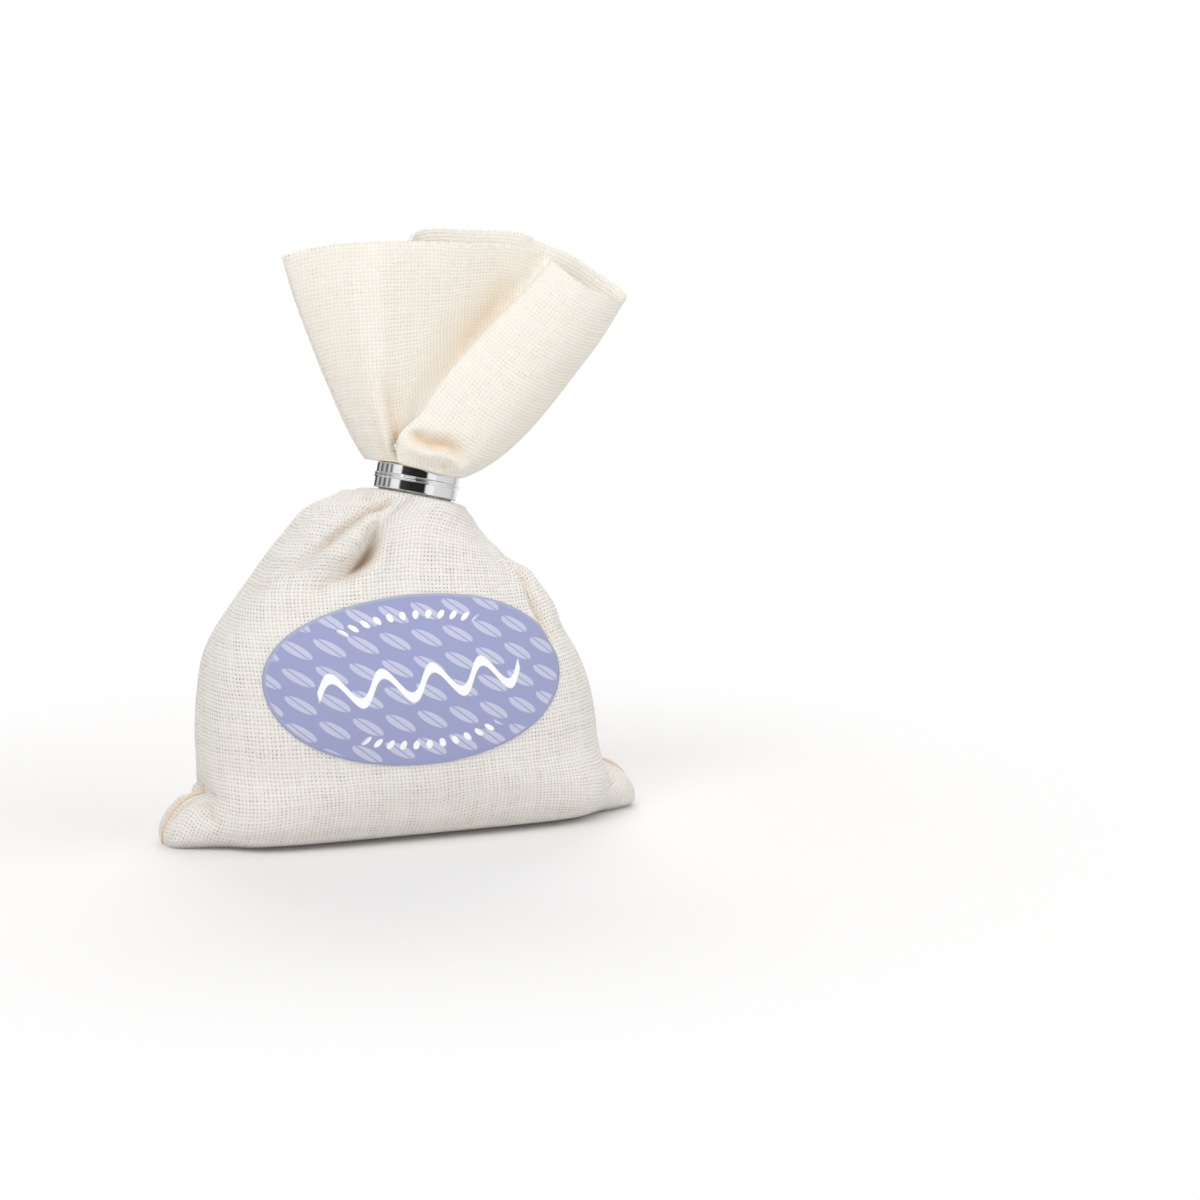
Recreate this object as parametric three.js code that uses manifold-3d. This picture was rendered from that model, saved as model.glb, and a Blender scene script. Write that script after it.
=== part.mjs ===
// A lavender sachet: a linen bag of two sewn panels, filled with dried lavender and closed by a metal
// ring pushed over its gathered neck. The cloth above the ring fans out as a collar. An oval label is
// stuck on the front.
// Millimetres, +Z up, front towards -Y. The origin is on the floor under the middle of the bag.
import * as THREE from 'three';
import { mergeVertices } from 'three/addons/utils/BufferGeometryUtils.js';
import Module from 'manifold-3d';

const wasm = await Module();
wasm.setup();

// Driving sizes
const CLOTH = 0.7;             // thickness of the linen
const CLEARANCE = 0.3;         // air between pieces that touch
const BELLY_WIDTH = 82;        // fullest section of the filled bag, left to right
const BELLY_DEPTH = 44;        // and front to back
const EAR_REACH = 11.2;        // the two bottom corners stand out this far from the base
const EAR_HEIGHT = 10;         // height of a corner where it leaves the bag
const NECK_HEIGHT = 68.5;      // middle of the ring above the floor
const NECK_SHIFT = 3.9;        // and right of the base's middle
const NECK_LEAN_RIGHT = 13;    // degrees that the neck leans to the right
const NECK_LEAN_BACK = 5;      // and to the back
const SHOULDER_SLUMP = 6;      // the shoulders sag this far left of the line up to the neck
const NECK_HOLE = 2.4;         // width of the pinhole left among the gathers
const COLLAR_LENGTH = 46;      // cloth above the ring
const COLLAR_SIZE = 36;        // half the collar's spread, left to right
const RING_BORE = 15;
const RING_WALL = 0.7;
const RING_HEIGHT = 5;
const RING_BEAD = 0.3;         // height of the two beads round the ring's middle
const BEAD_PITCH = 0.5;        // distance between the two beads
const LABEL_WIDTH = 62;
const LABEL_HEIGHT = 33;
const LABEL_THICKNESS = 0.2;
const LABEL_RISE = 33;         // height of the label's middle
const LABEL_SHIFT = -0.5;      // and its distance right of the bag's front line
const LABEL_TILT = 3;          // degrees that its right end is raised
const SEAM_ALLOWANCE = 5;      // cloth turned inside along each seam
const THREAD = 0.5;            // thickness of the sewing thread
const STITCH = 3.5;            // length of a stitch
const FILL_HEIGHT = 50;        // top of the bulk lavender
const FILL_SLACK = 1.5;        // how far the creased cloth stands off the fill's top edge
const BUD_LENGTH = 6;
const BUD_WIDTH = 2.6;
const BUD_COLUMNS = 3;
const BUD_ROWS = 3;
const BUD_SKEW = 0.15;         // the buds lie up to this far askew, in radians

// The neck: its axis, its radius inside the ring and the gap that the seams keep between panels
const radians = THREE.MathUtils.degToRad;
const neckRadius = RING_BORE / 2 - CLEARANCE;
const neckAxis = new THREE.Vector3(Math.tan(radians(NECK_LEAN_RIGHT)), Math.tan(radians(NECK_LEAN_BACK)), 1);
neckAxis.normalize();
const neckTurn = new THREE.Quaternion().setFromUnitVectors(new THREE.Vector3(0, 0, 1), neckAxis);
const neckCentre = new THREE.Vector3(NECK_SHIFT, 0, NECK_HEIGHT);
const neckHalf = RING_HEIGHT / 2 + CLEARANCE;
const shoulder = neckCentre.clone().addScaledVector(neckAxis, -neckHalf);
const seamGap = THREAD / 2 + CLEARANCE;

// The filled bag from the floor to the neck. Each row: share of the shoulder's height, then shares of
// the width, of the depth and of the slump that are reached there
const BAG_PROFILE = [
  [0.00, 0.90, 0.06, 0.00],
  [0.02, 0.925, 0.42, 0.00],
  [0.05, 0.95, 0.64, 0.00],
  [0.12, 0.98, 0.86, 0.00],
  [0.27, 1.00, 1.00, 0.23],
  [0.43, 0.97, 0.97, 0.45],
  [0.55, 0.88, 0.87, 0.68],
  [0.70, 0.69, 0.64, 0.88],
  [0.87, 0.42, 0.36, 0.80],
  [0.94, 0.29, 0.24, 0.58],
  [0.985, 0.14, 0.12, 0.15],
  [1.00, 0.00, 0.00, 0.00],
];
const SECTION_POWER = 2.4;     // the bag's sections are ellipses this square
const BASE_POWER = 5;          // and squarer at the floor
const SQUARE_SHARE = 0.25;     // up to this share of the height
const EAR_SHARPNESS = 40;      // how narrowly the corners stand out
const EAR_BEND = 1.2;          // how late the corners' upper edges curve down
const EAR_BLUNT = 0.5;         // and how steeply they leave the bag
const TUCK_SHARE = 0.4;        // the bottom seam ends this share of the corners' reach short of them
const ROUND_SHARE = 0.7;       // the sections grow round from this share of the height to the neck
const TILT_SHARE = 0.75;       // and lean over with the neck from this share

// Creases that run down from the neck: place round the bag (0 left seam, 0.25 front, 0.5 right seam)
// at the neck and where they fade, share of the height where they fade, depth
const CREASES = [
  [0.122, 0.112, 0.80, 2.4],
  [0.215, 0.145, 0.74, 2.6],
  [0.470, 0.395, 0.52, 1.6],
  [0.585, 0.600, 0.70, 2.2],
  [0.690, 0.675, 0.64, 2.4],
  [0.800, 0.815, 0.70, 2.2],
  [0.915, 0.900, 0.74, 2.4],
];
const CREASE_SHARE = 0.022;    // half width, as a share of the way round
const CREASE_FULL_SHARE = 0.93;  // share of the height where the creases are deepest
const CREASE_END_SHARE = 0.95; // and where they begin to close into the gathers
const GATHER_SHARE = 0.95;     // the gathers bunch up from this share of the height
const OPENING_SHARE = 0.12;    // and open out within this share of the collar

// The collar's lines, equal shares of the way round, starting at the left seam and running by the front.
// Each is a curve from the ring's upper face to the rim, bent by a point near its foot. Rim and foot have
// their place in plan, as shares of the collar's half spread in the neck's own frame, and some a lift. The
// neck has the angle in degrees where the line leaves the ring
const COLLAR_RIM = [
  [-0.94, 0.10, 0.00], [-0.75, -0.08, 0.00], [-0.55, -0.16, -0.02], [-0.33, -0.15, -0.035],
  [0.00, -0.11, -0.03], [0.28, -0.03, -0.02], [0.55, 0.055, -0.02], [0.51, -0.13, -0.02],
  [0.66, -0.185, -0.06], [0.87, -0.13, -0.03], [1.03, 0.005, 0.075], [0.87, 0.12, 0.06],
  [0.66, 0.145, 0.05], [0.54, 0.24, 0.045], [0.47, 0.36, 0.07], [0.20, 0.445, 0.015],
  [-0.12, 0.40, -0.03], [-0.24, 0.265, -0.13], [-0.50, 0.25, -0.13], [-0.75, 0.22, -0.08],
];
const COLLAR_FOOT = [
  [-0.45, 0.03, -0.08], [-0.41, -0.15, -0.06], [-0.33, -0.24, -0.02], [-0.25, -0.20], [-0.21, -0.12],
  [-0.19, -0.09], [-0.20, -0.13], [-0.25, -0.23], [0.08, -0.34], [0.36, -0.26],
  [0.56, 0.00], [0.42, 0.20], [0.28, 0.24], [0.21, 0.22], [0.20, 0.30],
  [0.04, 0.34], [-0.10, 0.30], [-0.155, 0.21], [-0.28, 0.25], [-0.42, 0.20, -0.07],
];
const COLLAR_NECK = [
  180, 203, 224, 240, 247, 254, 261, 268, 290, 322,
  360, 380, 398, 412, 428, 450, 472, 488, 505, 523,
];
const FOOT_RISE = 3.7;         // height of the foot's points above the ring
const RIM_SLOPE_RIGHT = 0.1;   // the rim climbs this much per millimetre to the right
const RIM_SLOPE_BACK = 0.2;    // and to the back

// How finely the cloth is drawn
const POINTS_PER_LINE = 2;     // points between two lines of the collar's outlines
const PANEL_POINTS = POINTS_PER_LINE * COLLAR_RIM.length / 2;
const BASE_ROWS = 3;
const BAG_ROWS = 14;
const NECK_ROWS = 2;
const COLLAR_ROWS = 9;
const GIRTH_STEPS = 40;
const WALK_STEP = 1 / 400;
const RING_SEGMENTS = 40;
const BUD_SEGMENTS = 8;

const columns = (table, first) => new THREE.CubicInterpolant(
  table.map((row) => row[0]),
  table.flatMap((row) => row.slice(first)),
  table[0].length - first,
);
const bagShares = columns(BAG_PROFILE, 1);
const outline = (shares) => new THREE.CatmullRomCurve3(
  shares.map(([x, y, z = 0]) => new THREE.Vector3(x, y, z).multiplyScalar(COLLAR_SIZE)), true);
const rimOutline = outline(COLLAR_RIM);
const footOutline = outline(COLLAR_FOOT);
const wrap = (p) => p - Math.floor(p);

const evenAngle = (p) => Math.PI * (1 + 2 * p);

// The angle round the neck where the collar's line at a place leaves the ring
function collarAngle(p) {
  const place = wrap(p) * COLLAR_NECK.length;
  const line = Math.floor(place);
  const next = line + 1 < COLLAR_NECK.length ? COLLAR_NECK[line + 1] : COLLAR_NECK[0] + 360;
  return radians(THREE.MathUtils.lerp(COLLAR_NECK[line], next, place - line));
}

// A point of the neck's circle, lifted along its axis from the ring's middle
function neckPoint(angle, radius, along) {
  const local = new THREE.Vector3(radius * Math.cos(angle), radius * Math.sin(angle), along);
  return local.applyQuaternion(neckTurn).add(neckCentre);
}

// The gathers shift a little inside the ring, from even places below to the collar's lines above
function gatherAngle(p, v) {
  const share = THREE.MathUtils.clamp(v - 1, 0, 1);
  return THREE.MathUtils.lerp(evenAngle(wrap(p)), collarAngle(p), share);
}

// How deep the creases draw the cloth in at a place on the bag
function creaseDepth(p, v) {
  let depth = 0;
  for (const [atNeck, atFade, fade, full] of CREASES) {
    const opening = THREE.MathUtils.smoothstep(v, fade, CREASE_FULL_SHARE);
    const closing = 1 - THREE.MathUtils.smoothstep(v, CREASE_END_SHARE, 1);
    const middle = THREE.MathUtils.mapLinear(v, fade, 1, atFade, atNeck);
    const away = (p - middle) / CREASE_SHARE;
    depth += full * opening * closing * Math.exp(-away * away);
  }
  return depth;
}

// The bag's outside from the floor (v = 0) to the neck (v = 1)
function bagPoint(p, v, earReach) {
  const [width, depth, slump] = bagShares.evaluate(v);
  const halfWidth = neckRadius + (BELLY_WIDTH / 2 - neckRadius) * width;
  const halfDepth = neckRadius + (BELLY_DEPTH / 2 - neckRadius) * depth;
  const round = THREE.MathUtils.smoothstep(v, ROUND_SHARE, 1);
  const square = THREE.MathUtils.smoothstep(v, 0, SQUARE_SHARE);
  const power = 2 / THREE.MathUtils.lerp(THREE.MathUtils.lerp(BASE_POWER, SECTION_POWER, square), 2, round);
  const angle = evenAngle(p);
  const cos = Math.cos(angle);
  const sin = Math.sin(angle);
  const pull = creaseDepth(p, v);
  const local = new THREE.Vector3(
    Math.sign(cos) * Math.abs(cos) ** power * (halfWidth - pull),
    Math.sign(sin) * Math.abs(sin) ** power * (halfDepth - pull),
    0,
  );
  const height = v * shoulder.z;
  const earRise = THREE.MathUtils.clamp(height / EAR_HEIGHT, 0, 1);
  const ear = (1 - earRise ** EAR_BEND) ** EAR_BLUNT * Math.abs(cos) ** EAR_SHARPNESS;
  local.x += Math.sign(cos) * earReach * ear;
  const tilt = new THREE.Quaternion().slerp(neckTurn, THREE.MathUtils.smoothstep(v, TILT_SHARE, 1));
  const middle = new THREE.Vector3(shoulder.x * v - SHOULDER_SLUMP * slump, shoulder.y * v, height);
  return local.applyQuaternion(tilt).add(middle);
}

// The base on the floor, from the bottom seam (k = 0) out to the bag's foot (k = 1)
function basePoint(p, k) {
  const edge = bagPoint(p, 0, EAR_REACH);
  const side = Math.sign(edge.y) || 1;
  const x = edge.x * THREE.MathUtils.lerp(1 - TUCK_SHARE * EAR_REACH / BELLY_WIDTH, 1, k);
  return new THREE.Vector3(x, side * (seamGap + (Math.abs(edge.y) - seamGap) * k), 0);
}

// The collar from the ring (t = 0) to the rim (t = 1)
function collarPoint(p, t) {
  const rim = rimOutline.getPoint(wrap(p));
  const foot = footOutline.getPoint(wrap(p));
  foot.z += neckHalf + FOOT_RISE;
  const angle = collarAngle(p);
  const start = new THREE.Vector3(neckRadius * Math.cos(angle), neckRadius * Math.sin(angle), neckHalf);
  const reach = Math.hypot(rim.x, rim.y) - neckRadius;
  const slope = RIM_SLOPE_RIGHT * rim.x + RIM_SLOPE_BACK * rim.y;
  rim.z += neckHalf + Math.sqrt(COLLAR_LENGTH ** 2 - reach ** 2) + slope;
  const local = new THREE.QuadraticBezierCurve3(start, foot, rim).getPoint(t);
  return local.applyQuaternion(neckTurn).add(neckCentre);
}

// The outside of the cloth: v from -1 (bottom seam) to 0 (floor's edge), 1 and 2 (the ring's two
// faces) and 3 (rim)
function clothPoint(p, v) {
  if (v < 0) return basePoint(p, v + 1);
  if (v < 1) return bagPoint(p, v, EAR_REACH);
  if (v >= 2) return collarPoint(p, v - 2);
  return neckPoint(gatherAngle(p, v), neckRadius, THREE.MathUtils.lerp(-neckHalf, neckHalf, v - 1));
}

// The direction out of a surface whose first way runs round by the front and whose second runs up
function normalOf(surface, p, v, low, high) {
  const step = 0.004;
  const along = surface(p + step, v).sub(surface(p - step, v));
  const up = surface(p, Math.min(high, v + step)).sub(surface(p, Math.max(low, v - step)));
  return along.cross(up).normalize();
}

// The inside of the cloth. In the neck the gathers fill the ring up to the pinhole
function clothInside(p, v) {
  const outside = clothPoint(p, v);
  const inside = outside.clone().addScaledVector(normalOf(clothPoint, p, v, -1, 3), -CLOTH);
  const closing = THREE.MathUtils.smoothstep(v, GATHER_SHARE, 1);
  const bunch = closing * (1 - THREE.MathUtils.smoothstep(v - 2, 0, OPENING_SHARE));
  if (bunch === 0) return inside;
  const along = outside.clone().sub(neckCentre).dot(neckAxis);
  return inside.lerp(neckPoint(gatherAngle(p, v), NECK_HOLE / 2, along), bunch);
}

// A closed sheet between two point grids, face(i, j) and back(i, j), with its four edges
function sheet(across, up, face, back) {
  const positions = [];
  const index = [];
  const id = (side, i, j) => side * (across + 1) * (up + 1) + j * (across + 1) + i;
  for (const point of [face, back]) {
    for (let j = 0; j <= up; j += 1) {
      for (let i = 0; i <= across; i += 1) positions.push(...point(i, j).toArray());
    }
  }
  const quad = (a, b, c, d) => index.push(a, b, c, a, c, d);
  for (let j = 0; j < up; j += 1) {
    for (let i = 0; i < across; i += 1) {
      quad(id(0, i, j), id(0, i + 1, j), id(0, i + 1, j + 1), id(0, i, j + 1));
      quad(id(1, i, j), id(1, i, j + 1), id(1, i + 1, j + 1), id(1, i + 1, j));
    }
  }
  for (let i = 0; i < across; i += 1) {
    quad(id(0, i, 0), id(1, i, 0), id(1, i + 1, 0), id(0, i + 1, 0));
    quad(id(0, i, up), id(0, i + 1, up), id(1, i + 1, up), id(1, i, up));
  }
  for (let j = 0; j < up; j += 1) {
    quad(id(0, 0, j), id(0, 0, j + 1), id(1, 0, j + 1), id(1, 0, j));
    quad(id(0, across, j), id(1, across, j), id(1, across, j + 1), id(0, across, j + 1));
  }
  const geometry = new THREE.BufferGeometry();
  geometry.setAttribute('position', new THREE.Float32BufferAttribute(positions, 3));
  geometry.setIndex(index);
  return geometry;
}

// Turns a body's faces outward when it was drawn the other way round
function outward(geometry) {
  const index = geometry.index.array;
  const position = geometry.attributes.position;
  const [a, b, c] = [0, 1, 2].map(() => new THREE.Vector3());
  let volume = 0;
  for (let k = 0; k < index.length; k += 3) {
    a.fromBufferAttribute(position, index[k]);
    b.fromBufferAttribute(position, index[k + 1]);
    c.fromBufferAttribute(position, index[k + 2]);
    volume += a.dot(b.cross(c));
  }
  if (volume > 0) return geometry;
  const flipped = [];
  for (let k = 0; k < index.length; k += 3) flipped.push(index[k], index[k + 2], index[k + 1]);
  geometry.setIndex(flipped);
  return geometry;
}

// Boolean joins and cuts
function solid(geometry) {
  const bare = outward(geometry.clone());
  bare.deleteAttribute('normal');
  bare.deleteAttribute('uv');
  const merged = mergeVertices(bare);
  return new wasm.Manifold(new wasm.Mesh({
    numProp: 3,
    vertProperties: new Float32Array(merged.attributes.position.array),
    triVerts: new Uint32Array(merged.index.array),
  }));
}

function geometryOf(manifold) {
  const mesh = manifold.getMesh();
  const geometry = new THREE.BufferGeometry();
  geometry.setAttribute('position', new THREE.Float32BufferAttribute(mesh.vertProperties, 3));
  geometry.setIndex(new THREE.Uint32BufferAttribute(mesh.triVerts, 1));
  return geometry;
}

// Rows of the cloth from the bottom seam to the rim, closer together at the floor and the neck, with one
// where the corners end
const clothRows = [EAR_HEIGHT / shoulder.z];
for (let j = 0; j < BASE_ROWS; j += 1) clothRows.push(-1 + j / BASE_ROWS);
for (let j = 0; j < BAG_ROWS; j += 1) clothRows.push((1 - Math.cos(Math.PI * j / BAG_ROWS)) / 2);
for (let j = 0; j < NECK_ROWS; j += 1) clothRows.push(1 + j / NECK_ROWS);
for (let j = 0; j <= COLLAR_ROWS; j += 1) clothRows.push(2 + j / COLLAR_ROWS);
clothRows.sort((a, b) => a - b);

// The way round the cloth at a row
function girth(v) {
  let sum = 0;
  for (let k = 0; k < GIRTH_STEPS; k += 1) {
    sum += clothPoint(k / GIRTH_STEPS, v).distanceTo(clothPoint((k + 1) / GIRTH_STEPS, v));
  }
  return sum;
}

// Places round one panel at a row, which stops short of the seams by the seams' gap
function panelPlace(i, v, start) {
  const short = seamGap / girth(Math.max(v, 0));
  return THREE.MathUtils.lerp(start + short, start + 0.5 - short, i / PANEL_POINTS);
}

// The line of a side seam: p = 0 left or 0.5 right, with a distance in from the outside
function seamPoint(p, v, inward) {
  const point = clothPoint(p, v);
  const normal = normalOf(clothPoint, p, v, -1, 3).setY(0).normalize();
  return point.addScaledVector(normal, -inward).setY(0);
}

// A strip along a side seam, or along the bottom seam, between two distances from the panel's edge
const seamFoot = (EAR_HEIGHT + 2 * CLEARANCE) / shoulder.z;  // the allowances start above the corners
const SEAM_TOP_SHARE = 0.9;    // and run out below the gathers, as a share of the height
const SEAM_ROWS = 10;
const SEAM_END = 6;            // the bottom seam's allowance ends this far inside the belly's width
const bottomSeam = BELLY_WIDTH - 2 * SEAM_END;

function sideStrip(p, from, to, nearY, farY, longer = 0) {
  const extra = longer / shoulder.z;
  const row = (j) => THREE.MathUtils.lerp(seamFoot - extra, SEAM_TOP_SHARE + extra, j / SEAM_ROWS);
  const point = (y) => (i, j) => seamPoint(p, row(j), i ? to : from).setY(y);
  return sheet(1, SEAM_ROWS, point(nearY), point(farY));
}

function bottomStrip(from, to, nearY, farY, longer = 0) {
  const length = bottomSeam + 2 * longer;
  const point = (y) => (i, j) => new THREE.Vector3((i - 0.5) * length, y, j ? to : from);
  return sheet(1, 1, point(nearY), point(farY));
}

// One panel: its sheet and the allowances turned in along its three seams. side is -1 front, 1 back
function panel(side) {
  const start = side < 0 ? 0 : 0.5;
  const at = (surface) => (i, j) => surface(panelPlace(i, clothRows[j], start), clothRows[j]);
  const wall = sheet(PANEL_POINTS, clothRows.length - 1, at(clothPoint), at(clothInside));
  const near = side * seamGap;
  const far = side * (seamGap + CLOTH);
  const reach = CLOTH + SEAM_ALLOWANCE;
  const turnedIn = [
    sideStrip(0, CLOTH / 2, reach, near, far),
    sideStrip(0.5, CLOTH / 2, reach, near, far),
    bottomStrip(CLOTH / 2, reach, near, far),
  ];
  return geometryOf(turnedIn.reduce((sum, strip) => sum.add(solid(strip)), solid(wall)));
}

// Sewing thread: a wavy line of stitches between the two turned-in edges
function threadAlong(pointAt, length) {
  const stitches = Math.round(length / STITCH);
  const points = [];
  for (let k = 0; k <= 2 * stitches; k += 1) {
    points.push(pointAt(k / (2 * stitches), k % 2 ? THREAD / 2 : -THREAD / 2));
  }
  const round = new THREE.Shape().absarc(0, 0, THREAD / 2, 0, 2 * Math.PI);
  const path = new THREE.CatmullRomCurve3(points);
  return new THREE.ExtrudeGeometry(round, { steps: 4 * stitches, curveSegments: 3, extrudePath: path });
}

function sideThread(p) {
  const inset = CLOTH + SEAM_ALLOWANCE / 2;
  const length = seamPoint(p, seamFoot, inset).distanceTo(seamPoint(p, SEAM_TOP_SHARE, inset));
  const row = (share) => THREE.MathUtils.lerp(seamFoot, SEAM_TOP_SHARE, share);
  return threadAlong((share, sway) => seamPoint(p, row(share), inset + sway), length);
}

function bottomThread() {
  const height = CLOTH + SEAM_ALLOWANCE / 2;
  const pointAt = (share, sway) => new THREE.Vector3((share - 0.5) * bottomSeam, 0, height + sway);
  return threadAlong(pointAt, bottomSeam);
}

// The bulk lavender fills the bag up to its flat top and leaves room for the seams
const fillFloor = CLOTH + CLEARANCE;
const fillTop = FILL_HEIGHT / shoulder.z;
const fillRows = clothRows.filter((v) => v >= 0 && v < fillTop).concat(fillTop);
const FILL_POINTS = 2 * (PANEL_POINTS + 1);

// A point of the fill's side at a row of the bag: square to the cloth where that curves under, and level
// with the row where the cloth leans in over the fill
function fillPoint(p, v) {
  const bare = (q, w) => bagPoint(q, w, 0);
  const inward = normalOf(bare, p, v, 0, 1).negate();
  const slack = FILL_SLACK * THREE.MathUtils.smoothstep(v, fillTop / 2, fillTop);
  let inset = CLOTH + CLEARANCE + slack;
  if (inward.z < 0) {
    inward.z = 0;
    inset /= inward.lengthSq();
  }
  const point = bare(p, v).addScaledVector(inward, inset);
  return point.setZ(Math.max(point.z, fillFloor));
}

const fillMiddle = (v) => fillPoint(0, v).add(fillPoint(0.5, v)).multiplyScalar(0.5);

function lavenderFill() {
  const positions = [];
  const index = [];
  for (const v of fillRows) {
    for (let i = 0; i < FILL_POINTS; i += 1) {
      const half = i <= PANEL_POINTS ? 0 : 1;
      const p = panelPlace(i - half * (PANEL_POINTS + 1), v, half / 2);
      positions.push(...fillPoint(p, v).toArray());
    }
  }
  positions.push(...fillMiddle(0).toArray(), ...fillMiddle(fillTop).toArray());
  const last = (fillRows.length - 1) * FILL_POINTS;
  const below = last + FILL_POINTS;
  for (let i = 0; i < FILL_POINTS; i += 1) {
    const next = (i + 1) % FILL_POINTS;
    for (let start = 0; start < last; start += FILL_POINTS) {
      const [a, b] = [start + i, start + next];
      index.push(a, b, b + FILL_POINTS, a, b + FILL_POINTS, a + FILL_POINTS);
    }
    index.push(below, next, i, below + 1, last + i, last + next);
  }
  const bulk = new THREE.BufferGeometry();
  bulk.setAttribute('position', new THREE.Float32BufferAttribute(positions, 3));
  bulk.setIndex(index);
  const room = seamGap + CLOTH + CLEARANCE;
  const reach = CLOTH + SEAM_ALLOWANCE + CLEARANCE;
  const slots = [
    sideStrip(0, -CLOTH, reach, -room, room, CLEARANCE),
    sideStrip(0.5, -CLOTH, reach, -room, room, CLEARANCE),
    bottomStrip(0, reach, -room, room, CLEARANCE),
  ];
  return geometryOf(slots.reduce((sum, slot) => sum.subtract(solid(slot)), solid(bulk)));
}

// One dried bud lies flat on the fill
function budShape() {
  const half = BUD_WIDTH / 2;
  const profile = [
    [0, -BUD_LENGTH / 2],
    [0.55 * half, -0.42 * BUD_LENGTH],
    [half, -0.12 * BUD_LENGTH],
    [0.9 * half, 0.2 * BUD_LENGTH],
    [0.5 * half, 0.42 * BUD_LENGTH],
    [0, BUD_LENGTH / 2],
  ];
  return new THREE.LatheGeometry(profile.map(([r, y]) => new THREE.Vector2(r, y)), BUD_SEGMENTS);
}

// The ring: two smooth bands with two fine beads between them
function ringShape() {
  const inner = RING_BORE / 2;
  const outer = inner + RING_WALL;
  const half = RING_HEIGHT / 2;
  const bevel = RING_WALL / 4;
  const bead = BEAD_PITCH / 2;
  const profile = [
    [inner, -half + bevel],
    [inner + bevel, -half],
    [outer - bevel, -half],
    [outer, -half + bevel],
    [outer, -2 * bead],
    [outer + RING_BEAD, -bead],
    [outer, 0],
    [outer + RING_BEAD, bead],
    [outer, 2 * bead],
    [outer, half - bevel],
    [outer - bevel, half],
    [inner + bevel, half],
    [inner, half - bevel],
    [inner, -half + bevel],
  ];
  return new THREE.LatheGeometry(profile.map(([r, z]) => new THREE.Vector2(r, z)), RING_SEGMENTS);
}

// Walks from a start along a line of the cloth, pointAt(place), for a distance
function walk(pointAt, start, distance) {
  const step = Math.sign(distance) * WALK_STEP;
  let place = start;
  let left = Math.abs(distance);
  while (left > 0) {
    const length = pointAt(place).distanceTo(pointAt(place + step));
    place += step * Math.min(1, left / length);
    left -= length;
  }
  return place;
}

// The oval label lies on the front, its square grid drawn out to an ellipse
const LABEL_ACROSS = 14;
const LABEL_UP = 8;
const FRONT_LINE = 0.25;

function labelPoint(i, j, lift) {
  const u = 2 * i / LABEL_ACROSS - 1;
  const w = 2 * j / LABEL_UP - 1;
  const oval = new THREE.Vector2(
    LABEL_WIDTH / 2 * u * Math.sqrt(1 - w * w / 2),
    LABEL_HEIGHT / 2 * w * Math.sqrt(1 - u * u / 2),
  ).rotateAround(new THREE.Vector2(), radians(LABEL_TILT));
  const v = walk((row) => clothPoint(FRONT_LINE, row), LABEL_RISE / shoulder.z, oval.y);
  const p = walk((place) => clothPoint(place, v), FRONT_LINE, LABEL_SHIFT + oval.x);
  return clothPoint(p, v).addScaledVector(normalOf(clothPoint, p, v, -1, 3), lift);
}

// Assembly
function finish(color, roughness, metalness = 0) {
  return new THREE.MeshStandardMaterial({ color, roughness, metalness });
}

function piece(name, geometry, material, parent) {
  const mesh = new THREE.Mesh(geometry, material);
  mesh.name = name;
  parent.add(mesh);
  return mesh;
}

const sachet = new THREE.Group();
piece('front_panel', panel(-1), finish(0xe3dacb, 0.95), sachet);
piece('back_panel', panel(1), finish(0xe3dacb, 0.95), sachet);
piece('left_seam_thread', sideThread(0), finish(0xf2ece0, 0.8), sachet);
piece('right_seam_thread', sideThread(0.5), finish(0xf2ece0, 0.8), sachet);
piece('bottom_seam_thread', bottomThread(), finish(0xf2ece0, 0.8), sachet);
piece('lavender_fill', lavenderFill(), finish(0x746a63, 1), sachet);

// Loose buds lie in rows on the middle of the fill's top
const budPitch = BUD_LENGTH + BUD_WIDTH / 2;
const rowPitch = 1.5 * BUD_WIDTH;
const heapMiddle = fillMiddle(fillTop);

for (let k = 0; k < BUD_COLUMNS * BUD_ROWS; k += 1) {
  const column = k % BUD_COLUMNS - (BUD_COLUMNS - 1) / 2;
  const row = Math.floor(k / BUD_COLUMNS) - (BUD_ROWS - 1) / 2;
  const name = `lavender_bud_${String(k + 1).padStart(2, '0')}`;
  const bud = piece(name, budShape(), finish(0x6f6a7c, 1), sachet);
  bud.position.set(column * budPitch, row * rowPitch, CLEARANCE + BUD_WIDTH / 2).add(heapMiddle);
  bud.rotation.z = Math.PI / 2 + BUD_SKEW * Math.sin(5 * k);
}

const lift = (amount) => (i, j) => labelPoint(i, j, amount);
const labelSheet = sheet(LABEL_ACROSS, LABEL_UP, lift(CLEARANCE + LABEL_THICKNESS), lift(CLEARANCE));
piece('label', labelSheet, finish(0x8f9bd6, 0.6), sachet);

const neck = new THREE.Group();
neck.position.copy(neckCentre);
neck.quaternion.copy(neckTurn);
sachet.add(neck);
const ring = piece('closure_ring', ringShape(), finish(0xd8d9dc, 0.08, 1), neck);
ring.rotation.x = Math.PI / 2;

export default sachet;
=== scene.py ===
"""A lavender sachet: a filled linen bag, gathered under a metal ring, with an oval label on its front.

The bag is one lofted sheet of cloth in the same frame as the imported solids. Lengths inside the form
classes are millimetres, and everything given to Blender is metres.
"""
import logging
import math
from dataclasses import dataclass, field, replace
from enum import Enum

import bpy
import numpy as np
from mathutils import Matrix, Vector, noise


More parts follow.
